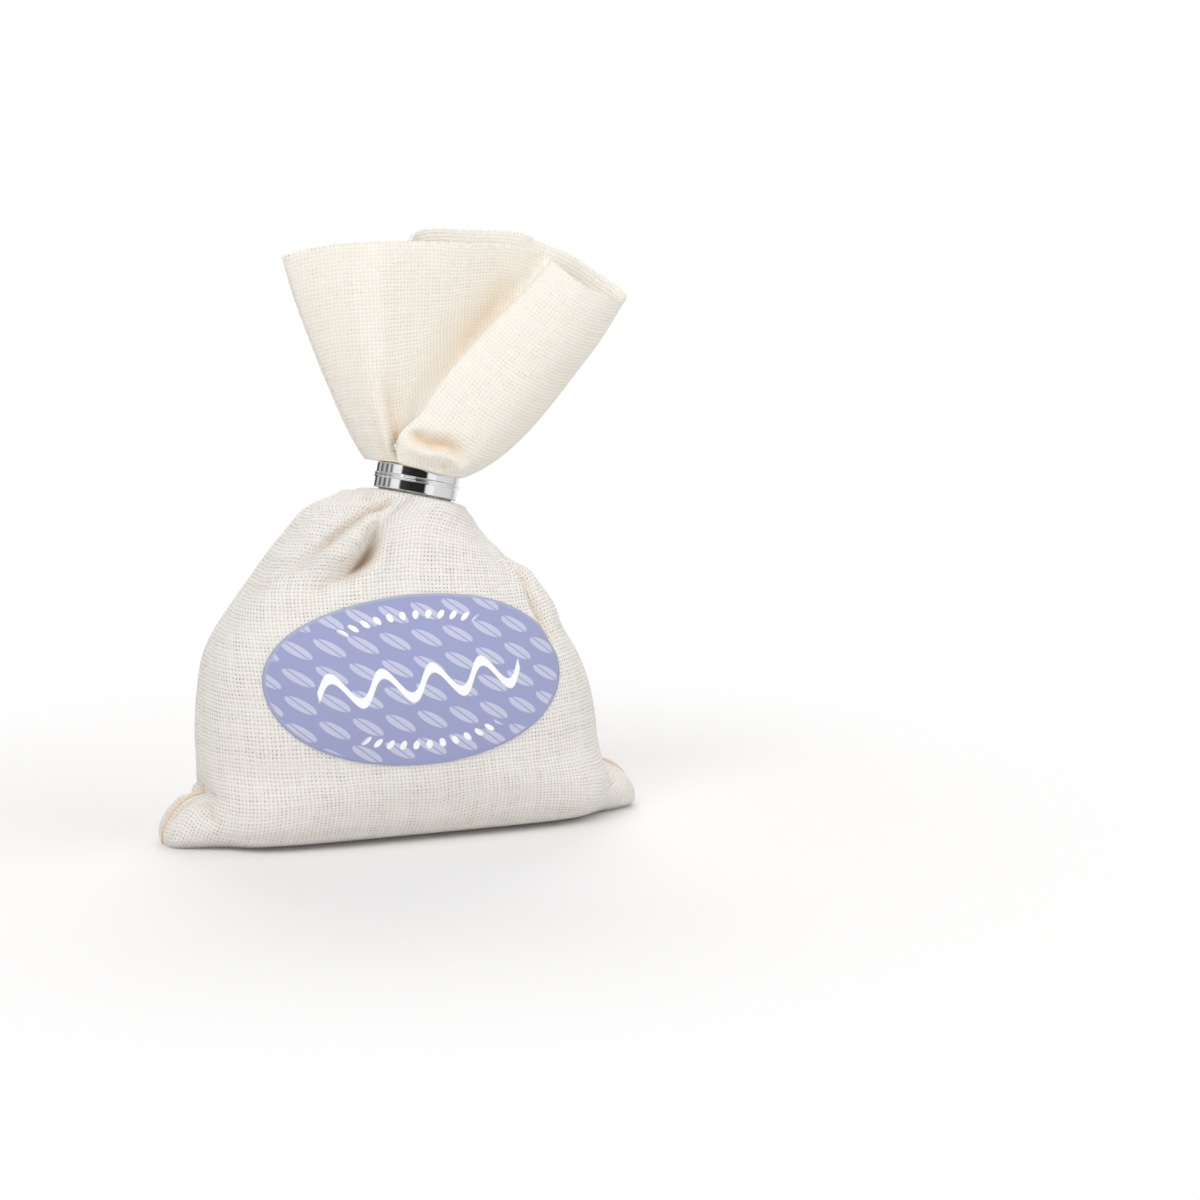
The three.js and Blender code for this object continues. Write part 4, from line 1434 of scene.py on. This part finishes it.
    def on_front(self, right: Array, up: Array, height: float) -> Array:
        """Points a way along the cloth from the front line, as a label lies on it.

        Args:
            right: distance to the right along the cloth.
            up: distance up along the front line, measured first.
            height: height of the start above the floor.

        Returns:
            Points of the cloth's outside.
        """
        quarter = self.columns // 4
        line = self.points[self.base_rows:self.base_rows + self.bag_rows, quarter]
        climbed = way_along(line)
        start = np.interp(height, line[:, 2], climbed)
        row = self.base_rows + np.interp(start + up, climbed, np.arange(len(line)))
        column = np.empty_like(right)
        for index in np.ndindex(right.shape):
            j = int(row[index])
            share = row[index] - j
            way = self.walked[j] * (1 - share) + self.walked[j + 1] * share
            column[index] = np.interp(way[quarter] + right[index], way, np.arange(self.columns + 1))
        return self.at(column, row)

    @property
    def inside(self) -> Array:
        """Rows of the outside that the rows of the collar's inside follow, from the rim down."""
        first = self.base_rows + self.bag_rows + self.neck_rows
        return np.linspace(len(self.rows) - 1, first, self.inside_rows).round().astype(int)

    def rim_roll(self) -> Array:
        """Rows that turn over the raw edge and run down the collar's inside.

        Returns:
            Points by row and column.
        """
        form, rim, normals = self.form, self.points[-1], self.normals(self.points)
        upward = unit(rim - self.points[-2])
        beside = np.abs((self.places + 0.25) % 0.5 - 0.25)
        full = smoothstep(beside, 0.0, self.thin_near_seam)
        thick = (form.cloth * (self.thin_rim + (1 - self.thin_rim) * full))[:, None]
        half = thick / 2
        rows = []
        for k in range(1, self.rim_rows + 1):
            angle = math.pi * k / (self.rim_rows + 1)
            rows.append(rim - normals[-1] * half * (1 - math.cos(angle)) + upward * half * math.sin(angle))
        pin = form.neck(self.places, np.ones(self.columns), form.neck_hole)
        for j in self.inside:
            bunch = 1 - smoothstep(np.array(self.rows[j]), 2.0, self.bunch_until)
            along = ((self.points[j] - form.centre) @ form.axis).mean()
            bunched = pin + form.axis * (along - form.neck_half)
            rows.append((self.points[j] - normals[j] * thick) * (1 - bunch) + bunched * bunch)
        return np.array(rows)

    def build(self, material: Material) -> Object:
        """Makes the object with its UV map and attributes.

        Args:
            material: the linen.

        Returns:
            The object.
        """
        grid = np.concatenate([self.points, self.rim_roll()])
        faces = grid_faces(len(grid), self.columns)
        thing = new_object("bag_cloth", grid.reshape(-1, 3), faces.tolist(), material)
        row, column = faces // self.columns, faces % self.columns
        last = len(self.rows) - 1
        mirror = np.concatenate([np.arange(last + 1), np.full(self.rim_rows, last), self.inside])
        half = self.columns // 2
        left = np.repeat(column[:, :1], 4, axis=1)
        back = (left >= half).astype(int)
        right_edge = np.array([0, 1, 1, 0])[None]
        u = self.across[back, mirror[row], left - back * half + right_edge]
        w = self.upward[mirror[row], column]
        add_uv(thing, "cloth", np.stack([u + self.panel_gap * back, w], axis=-1).reshape(-1, 2) * MM)
        place = self.rows[mirror][:, None] * np.ones((1, self.columns))
        # collar marks where the colours painted lighter for light shining through take over; crease carries
        # the painted crease shade
        add_attribute(thing, "collar", smoothstep(place, *self.collar_from))
        add_attribute(thing, "crease", self.crease[mirror])
        lengths = np.abs(self.upward[mirror])
        add_attribute(thing, "edge", np.where(place > 2, np.exp(-lengths / self.edge_width), 0.0))
        return thing


@dataclass
class Label:
    """The oval sticker on the front of the bag."""
    width: float = 62.0
    height: float = 33.0
    thickness: float = 0.2
    rise: float = 33.0
    shift: float = -0.5
    stand_off: float = 0.12
    tilt: float = 3.0
    rings: int = 28
    segments: int = 144
    pinhole: float = 0.004

    def build(self, cloth: BagCloth, material: Material) -> Object:
        """Makes the label on the cloth.

        Args:
            cloth: cloth that carries it.
            material: its print.

        Returns:
            The object.
        """
        shares = np.linspace(self.pinhole, 1, self.rings)
        angles = np.arange(self.segments) / self.segments * 2 * math.pi
        radius, angle = np.meshgrid(shares, angles, indexing="ij")
        sides = radius * np.cos(angle) * self.width / 2, radius * np.sin(angle) * self.height / 2
        flat = np.stack(sides, axis=-1)
        spin = math.radians(self.tilt)
        right = flat[..., 0] * math.cos(spin) - flat[..., 1] * math.sin(spin)
        up = flat[..., 0] * math.sin(spin) + flat[..., 1] * math.cos(spin)
        on_cloth = cloth.on_front(right + self.shift, up, self.rise)
        normals = -BagCloth.normals(on_cloth)
        centre = normals[1:4].mean(axis=(0, 1))
        normals[:2] = centre / np.linalg.norm(centre)
        flip = np.sign((normals * np.array([0.0, -1.0, 0.0])).sum(-1).mean())
        face = on_cloth + flip * normals * (self.stand_off + self.thickness)
        rear = on_cloth + flip * normals * self.stand_off
        grid = np.concatenate([face, rear[::-1]])
        faces = grid_faces(len(grid), self.segments)
        thing = new_object("label_sticker", grid.reshape(-1, 3), faces.tolist(), material)
        flats = np.concatenate([flat, flat[::-1]]).reshape(-1, 2)
        add_uv(thing, "print", flats[faces.ravel()])
        return thing


@dataclass
class ClosureRing:
    """The metal ring: two smooth bands with two fine beads between them."""
    form: SachetForm
    bore: float = 15.0
    wall: float = 0.7
    height: float = 5.0
    bead: float = 0.3
    pitch: float = 0.5
    segments: int = 160
    rounding: int = 6
    edge_share: float = 0.35
    margin_share: float = 0.3
    bead_steps: int = 41
    bead_power: float = 0.8

    @property
    def edge(self) -> float:
        """Radius of the section's rounded edges."""
        return self.wall * self.edge_share

    def corner(self, radius: float, height: float, start: float) -> list[Pair]:
        """One rounded edge of the section, about a middle at radius and height."""
        angles = [start + 0.5 * math.pi * k / (self.rounding - 1) for k in range(self.rounding)]
        return [(radius + self.edge * math.cos(a), height + self.edge * math.sin(a)) for a in angles]

    def profile(self) -> Array:
        """Half section, from the bore's lower edge round by the outside.

        Returns:
            Radius and height of each point.
        """
        outer = self.bore / 2 + self.wall
        near, far, top = self.bore / 2 + self.edge, outer - self.edge, self.height / 2 - self.edge
        margin = self.edge * self.margin_share
        points = self.corner(near, -top, math.pi) + self.corner(far, -top, 1.5 * math.pi)
        points += [(outer, -top + margin), (outer, -self.pitch - margin)]
        for share in np.linspace(-1.0, 1.0, self.bead_steps):
            swell = abs(math.sin(math.pi * share)) ** self.bead_power
            points.append((outer + self.bead * swell, share * self.pitch))
        points += [(outer, self.pitch + margin), (outer, top - margin)]
        points += self.corner(far, top, 0.0) + self.corner(near, top, 0.5 * math.pi)
        return np.array(points)

    def build(self, material: Material) -> Object:
        """Makes the ring round the neck.

        Args:
            material: its metal.

        Returns:
            The object.
        """
        radius, height = self.profile().T[..., None]
        angle = np.arange(self.segments) / self.segments * 2 * math.pi
        sides = radius * np.cos(angle), radius * np.sin(angle), np.repeat(height, self.segments, axis=1)
        vertices = self.form.from_neck(np.stack(sides, axis=-1)).reshape(-1, 3)
        faces = grid_faces(len(radius) + 1, self.segments) % len(vertices)
        return new_object("ring_band", vertices, faces.tolist(), material)


@dataclass
class CornerSeams:
    """The rolled seam edges along the tops of the two bottom corners."""
    cloth: BagCloth
    radius: float = 0.45
    proud: float = 0.2
    sides: int = 10
    steps: int = 60
    rows: Pair = (0.0, 0.185)
    taper: float = 0.4
    flat_side: float = 0.4
    # The rolls take this share of the collar's colours, painted lighter for light shining through, and of
    # painted crease shade
    backlit_share: float = 0.7
    shade: float = 0.75

    def build(self, material: Material) -> Object:
        """Makes both rolls along the seam lines.

        Args:
            material: the linen.

        Returns:
            The object.
        """
        picked = (self.cloth.rows >= self.rows[0]) & (self.cloth.rows <= self.rows[1])
        angle = np.arange(self.sides) / self.sides * 2 * math.pi
        level = np.array([0.0, 1.0, 0.0])
        vertices, faces, flats = [], [], []
        for column, side in ((0, -1.0), (self.cloth.columns // 2, 1.0)):
            line = self.cloth.points[picked, column]
            walked = way_along(line)
            even = np.linspace(0.0, walked[-1], self.steps)
            path = np.stack([np.interp(even, walked, line[:, k]) for k in range(3)], axis=-1)
            out = unit(np.cross(unit(np.gradient(path, axis=0)), level)) * -side
            size = self.radius * np.sin(np.linspace(0.0, math.pi, self.steps))[:, None, None] ** self.taper
            middle = path + out * self.proud
            ring = np.cos(angle)[None, :, None] * level + np.sin(angle)[None, :, None] * out[:, None]
            start = sum(map(len, vertices))
            vertices.append((middle[:, None] + ring * size).reshape(-1, 3))
            quads = grid_faces(self.steps, self.sides)
            faces.extend((quads + start).tolist())
            flats.append(np.stack([quads % self.sides * self.flat_side, even[quads // self.sides]], axis=-1))
        thing = new_object("corner_seams", np.concatenate(vertices), faces, material)
        add_uv(thing, "cloth", np.concatenate(flats).reshape(-1, 2) * MM)
        # Painted light and shade on the rolls: the collar's lit-through colours and crease shade
        for name, value in (("collar", self.backlit_share), ("crease", self.shade)):
            add_attribute(thing, name, np.full(len(thing.data.vertices), value))
        return thing


@dataclass
class RimFray:
    """Loose fibres along the collar's raw edge."""
    cloth: BagCloth
    length: float = 1.1
    radius: float = 0.05
    spread: float = 0.8
    shortest: float = 0.3
    count: int = 640
    seed: int = 11

    def tree(self) -> Tree:
        """Builds the geometry tree that sets a thin cone on each point.

        Returns:
            The tree.
        """
        inputs = {"Geometry": "Geometry", "Length": "Float", "Radius": "Float", "Spread": "Float",
                  "Seed": "Int", "Material": "Material"}
        graph, given, result = node_group(TreeKind.GEOMETRY, "rim_fibres", inputs, {"Geometry": "Geometry"})
        fibre = graph.add("GeometryNodeMeshCone", {
            "Vertices": 4, "Radius Top": 0.0, "Radius Bottom": given["Radius"], "Depth": given["Length"]})
        up = graph.add("GeometryNodeInputNamedAttribute", {"Name": "up"}, data_type="FLOAT_VECTOR")
        chance = graph.random((-1.0,) * 3, (1.0,) * 3, given["Seed"])
        stray = graph.add("ShaderNodeVectorMath", {0: chance, "Scale": given["Spread"]}, operation="SCALE")
        way = graph.add("ShaderNodeVectorMath", {0: up.outputs["Attribute"], 1: stray.outputs["Vector"]},
                        operation="ADD")
        aim = graph.add("FunctionNodeAlignRotationToVector", {"Vector": way.outputs["Vector"]}, axis="Z")
        fibres = graph.add("GeometryNodeInstanceOnPoints", {
            "Points": given["Geometry"], "Instance": fibre.outputs["Mesh"],
            "Rotation": aim.outputs["Rotation"], "Scale": graph.random(self.shortest, 1.0, given["Seed"])})
        whole = graph.add("GeometryNodeRealizeInstances", {"Geometry": fibres.outputs["Instances"]})
        dressed = graph.add("GeometryNodeSetMaterial", {
            "Geometry": whole.outputs["Geometry"], "Material": given["Material"]})
        graph.put(result["Geometry"], dressed.outputs["Geometry"])
        return graph.tree

    def build(self, material: Material) -> Object:
        """Makes the fibres along the rim.

        Args:
            material: their thread.

        Returns:
            The object.
        """
        even = np.arange(self.count) / self.count
        columns = np.interp(even, self.cloth.places, np.arange(self.cloth.columns))
        last = len(self.cloth.rows) - 1
        rim = self.cloth.at(columns, np.full_like(columns, last))
        below = self.cloth.at(columns, np.full_like(columns, last - 1))
        thing = new_object("rim_fray", rim, [])
        layer = thing.data.attributes.new("up", "FLOAT_VECTOR", "POINT")
        layer.data.foreach_set("vector", unit(rim - below).astype(np.float32).ravel())
        return grow(thing, self.tree(), {"Length": self.length * MM, "Radius": self.radius * MM,
                                         "Spread": self.spread, "Seed": self.seed, "Material": material})


@dataclass
class LavenderHeap:
    """The dried buds that fill the bag: a core with buds lying all over it."""
    form: SachetForm
    inset: float = 4.2
    top: float = 48.4
    low: float = 0.06
    rings: int = 22
    segments: int = 64
    bud_length: float = 6.0
    bud_width: float = 2.4
    bud_tilt: float = 0.15
    bud_smallest: float = 0.7
    density: float = 130000.0
    seed: int = 5
    cap_shares: Pair = (0.35, 0.7)

    def tree(self) -> Tree:
        """Builds the geometry tree that lays buds on the core.

        Returns:
            The tree.
        """
        inputs = {"Geometry": "Geometry", "Bud length": "Float", "Bud width": "Float", "Density": "Float",
                  "Seed": "Int", "Material": "Material"}
        graph, given, result = node_group(TreeKind.GEOMETRY, "bud_heap", inputs, {"Geometry": "Geometry"})
        ball = graph.add("GeometryNodeMeshUVSphere", {"Segments": 6, "Rings": 5, "Radius": 0.5})
        sides = graph.add("ShaderNodeCombineXYZ", {
            "X": given["Bud length"], "Y": given["Bud width"], "Z": given["Bud width"]})
        bud = graph.add("GeometryNodeTransform", {
            "Geometry": ball.outputs["Mesh"], "Scale": sides.outputs["Vector"]})
        spots = graph.add("GeometryNodeDistributePointsOnFaces", {
            "Mesh": given["Geometry"], "Density": given["Density"], "Seed": given["Seed"]})
        tilt = self.bud_tilt
        turns = graph.random((-tilt, -tilt, 0.0), (tilt, tilt, 2 * math.pi), given["Seed"])
        spin = graph.add("FunctionNodeEulerToRotation", {"Euler": turns})
        laid = graph.add("FunctionNodeRotateRotation", {
            "Rotation": spots.outputs["Rotation"], "Rotate By": spin.outputs["Rotation"]},
            rotation_space="LOCAL")
        buds = graph.add("GeometryNodeInstanceOnPoints", {
            "Points": spots.outputs["Points"], "Instance": bud.outputs["Geometry"],
            "Rotation": laid.outputs["Rotation"],
            "Scale": graph.random(self.bud_smallest, 1.0, given["Seed"])})
        toned = graph.add("GeometryNodeStoreNamedAttribute", {
            "Geometry": buds.outputs["Instances"], "Name": "tone",
            "Value": graph.random(0.0, 1.0, given["Seed"])}, data_type="FLOAT", domain="INSTANCE")
        whole = graph.add("GeometryNodeRealizeInstances", {"Geometry": toned.outputs["Geometry"]})
        heap = graph.add("GeometryNodeJoinGeometry")
        graph.tree.links.new(whole.outputs["Geometry"], heap.inputs["Geometry"])
        graph.tree.links.new(given["Geometry"], heap.inputs["Geometry"])
        smooth = graph.add("GeometryNodeSetShadeSmooth", {"Geometry": heap.outputs["Geometry"]})
        dressed = graph.add("GeometryNodeSetMaterial", {
            "Geometry": smooth.outputs["Geometry"], "Material": given["Material"]})
        graph.put(result["Geometry"], dressed.outputs["Geometry"])
        return graph.tree

    def build(self, material: Material) -> Object:
        """Makes the heap inside the bag.

        Args:
            material: the dried buds.

        Returns:
            The object.
        """
        places = np.arange(self.segments) / self.segments
        high = self.top / self.form.shoulder[2]
        p, v = np.meshgrid(places, np.linspace(self.low, high, self.rings))
        bare = replace(self.form, ear_reach=0.0)
        side = bare.bag(p, v)
        side = side - BagCloth.normals(side) * self.inset
        middle = side[-1].mean(axis=0)
        caps = [side[-1] * (1 - k) + middle * k for k in self.cap_shares]
        foot = side[0].mean(axis=0)
        grid = np.concatenate([[(side[0] + foot) / 2], side, caps])
        vertices = np.concatenate([grid.reshape(-1, 3), [foot, middle]])
        faces = grid_faces(len(grid), self.segments).tolist()
        last = (len(grid) - 1) * self.segments
        for i in range(self.segments):
            after = (i + 1) % self.segments
            faces.append([len(vertices) - 2, after, i])
            faces.append([len(vertices) - 1, last + i, last + after])
        thing = new_object("lavender_heap", vertices, faces)
        return grow(thing, self.tree(), {"Bud length": self.bud_length * MM, "Bud width": self.bud_width * MM,
                                         "Density": self.density, "Seed": self.seed, "Material": material})


# Floor, light and camera

@dataclass(frozen=True)
class SoftLight:
    """A square soft light, in metres and watts, which faces a point over the floor's middle."""
    name: str
    place: Triple
    aim_height: float
    size: float
    watts: float
    mirrored: bool = True

    def build(self) -> None:
        """Adds the light."""
        data = bpy.data.lights.new(self.name, "AREA")
        data.energy, data.size = self.watts, self.size
        thing = bpy.data.objects.new(self.name, data)
        thing.location = self.place
        way = Vector((0.0, 0.0, self.aim_height)) - Vector(self.place)
        thing.rotation_euler = way.to_track_quat("-Z", "Y").to_euler()
        thing.visible_glossy = self.mirrored
        bpy.context.scene.collection.objects.link(thing)


@dataclass(frozen=True)
class Studio:
    """White floor and soft light, and the camera at the photograph's place."""
    position: Triple = (-0.180275, -0.557353, 0.142820)
    azimuth: float = -21.8
    elevation: float = 9.5
    lens: float = 90.0
    sensor: float = 36.0
    ambient: float = 0.525
    floor_tone: Colour = (0.85, 0.84, 0.83, 1.0)
    floor_bounce: Colour = (0.75, 0.74, 0.72, 1.0)
    cards: tuple[Pair, ...] = (
        (0.05, 0.1), (0.10, 0.08), (0.135, 0.7), (0.165, 0.04), (0.205, 0.6), (0.23, 0.04), (0.26, 0.75),
        (0.28, 0.06), (0.305, 0.9), (0.37, 1.0), (0.385, 0.05), (0.47, 0.02), (0.575, 0.02), (0.59, 0.95),
        (0.64, 1.0), (0.66, 0.8), (0.82, 0.72), (0.86, 0.5), (0.90, 0.85),
    )
    lights: tuple[SoftLight, ...] = (
        SoftLight("key", (-0.5, -0.55, 1.0), aim_height=0.06, size=0.8, watts=6.3),
        SoftLight("fill", (0.8, -0.5, 0.7), aim_height=0.06, size=0.9, watts=3.0),
        SoftLight("back", (0.3, 0.9, 0.7), aim_height=0.09, size=0.9, watts=5.5),
        SoftLight("front", (-0.3, -0.9, 0.12), aim_height=0.05, size=0.5, watts=1.3, mirrored=False),
    )
    floor_half: float = 4000.0
    fade_from: Pair = (0.07, 0.18)
    white: Colour = (1.0, 1.0, 1.0, 1.0)

    def camera(self) -> None:
        """Adds the camera."""
        turned, raised = math.radians(self.azimuth), math.radians(self.elevation)
        level = math.cos(raised)
        back = Vector((math.sin(turned) * level, -math.cos(turned) * level, math.sin(raised)))
        right = Vector((math.cos(turned), math.sin(turned), 0.0))
        place = Matrix((right, back.cross(right), back)).transposed().to_4x4()
        place.translation = Vector(self.position)
        data = bpy.data.cameras.new("photo_camera")
        data.lens = self.lens
        data.sensor_width = self.sensor
        thing = bpy.data.objects.new("photo_camera", data)
        thing.matrix_world = place
        bpy.context.scene.collection.objects.link(thing)
        bpy.context.scene.camera = thing

    def world(self) -> None:
        """Lights the whole room white, and gives the metal a room with dark cards to mirror."""
        world = bpy.data.worlds.new("white_room")
        world.use_nodes = True
        graph = Graph(world.node_tree)
        shine = graph.find("BACKGROUND")
        look = graph.add("ShaderNodeTexCoord").outputs["Generated"]
        path = graph.add("ShaderNodeLightPath")
        turned = math.radians(self.azimuth)
        right = graph.add("ShaderNodeVectorMath", {0: look, 1: (math.cos(turned), math.sin(turned), 0.0)},
                          operation="DOT_PRODUCT")
        back = graph.add("ShaderNodeVectorMath", {0: look, 1: (math.sin(turned), -math.cos(turned), 0.0)},
                         operation="DOT_PRODUCT")
        angle = graph.math("ARCTAN2", right.outputs["Value"], back.outputs["Value"])
        share = graph.math("MULTIPLY_ADD", angle, 0.5 / math.pi, 0.5)
        cards = graph.add("ShaderNodeValToRGB", {"Fac": share})
        stops = cards.color_ramp.elements
        for place, level in self.cards:
            stop = stops.new(place)
            stop.color = (level, level, level, 1.0)
        stops.remove(stops[0])
        lit = graph.mix(path.outputs["Is Glossy Ray"], (self.ambient,) * 3 + (1.0,), cards.outputs["Color"])
        graph.put(shine.inputs["Color"], graph.mix(path.outputs["Is Camera Ray"], lit, self.white))
        bpy.context.scene.world = world

    def floor(self) -> None:
        """Adds the white floor, which fades into the white room away from the part."""
        half = self.floor_half
        corners = [(-half, -half, 0.0), (half, -half, 0.0), (half, half, 0.0), (-half, half, 0.0)]
        material, graph, shader = new_material("floor_white")
        path = graph.add("ShaderNodeLightPath").outputs
        tone = graph.mix(path["Is Diffuse Ray"], self.floor_tone, self.floor_bounce)
        graph.fill(shader, {"Base Color": tone, "Roughness": 0.9})
        place = graph.add("ShaderNodeTexCoord").outputs["Object"]
        away = graph.add("ShaderNodeVectorMath", {0: place}, operation="LENGTH").outputs["Value"]
        far = graph.math("MULTIPLY", graph.ramp(away, *self.fade_from), path["Is Camera Ray"])
        white = graph.add("ShaderNodeEmission", {"Color": self.white}).outputs["Emission"]
        shown = graph.add("ShaderNodeMixShader", {0: far, 1: shader.outputs["BSDF"], 2: white})
        clear = graph.add("ShaderNodeBsdfTransparent").outputs["BSDF"]
        whole = graph.add("ShaderNodeMixShader", {
            0: path["Is Glossy Ray"], 1: shown.outputs["Shader"], 2: clear})
        graph.put(graph.find("OUTPUT_MATERIAL").inputs["Surface"], whole.outputs["Shader"])
        thing = new_object("floor", corners, [[0, 1, 2, 3]], material)

    def build(self) -> None:
        """Sets up the whole studio."""
        scene = bpy.context.scene
        scene.view_settings.view_transform = "Standard"
        self.camera()
        self.world()
        self.floor()
        for light in self.lights:
            light.build()


def dress_node(name: str, material: Material) -> None:
    """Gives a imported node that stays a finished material.

    Args:
        name: the node.
        material: its finish.
    """
    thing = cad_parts[name]
    thing.data.materials.clear()
    thing.data.materials.append(material)


def main() -> None:
    """Builds the sachet and hands it to the frame."""
    logging.basicConfig(level=logging.INFO, format="%(name)s: %(message)s")
    form = SachetForm()
    linen, lavender, thread = LinenFinish().build(), LavenderFinish().build(), ThreadFinish().build()
    Studio().build()
    heap = LavenderHeap(form).build(lavender)
    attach(heap, Body.BAG.value)
    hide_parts("lavender_fill")
    LOG.info("lavender heap: %d points", len(heap.data.vertices))
    cloth = BagCloth(form)
    bag = cloth.build(linen)
    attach(bag, Body.BAG.value)
    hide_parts("front_panel", "back_panel")
    LOG.info("bag cloth: %d points", len(bag.data.vertices))
    edges = [CornerSeams(cloth).build(linen), RimFray(cloth).build(thread)]
    for edge in edges:
        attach(edge, Body.BAG.value)
        LOG.info("%s: %d points", edge.name, len(edge.data.vertices))
    label = Label().build(cloth, LabelFinish().build())
    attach(label, Body.BAG.value)
    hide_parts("label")
    LOG.info("label: %d points", len(label.data.vertices))
    ring = ClosureRing(form).build(ChromeFinish().build())
    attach(ring, Body.RING.value)
    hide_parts("closure_ring")
    LOG.info("ring: %d points", len(ring.data.vertices))
    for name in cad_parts:
        if name.startswith("lavender_bud"):
            dress_node(name, lavender)
        elif name.endswith("thread"):
            dress_node(name, thread)


if __name__ == "__main__":
    main()
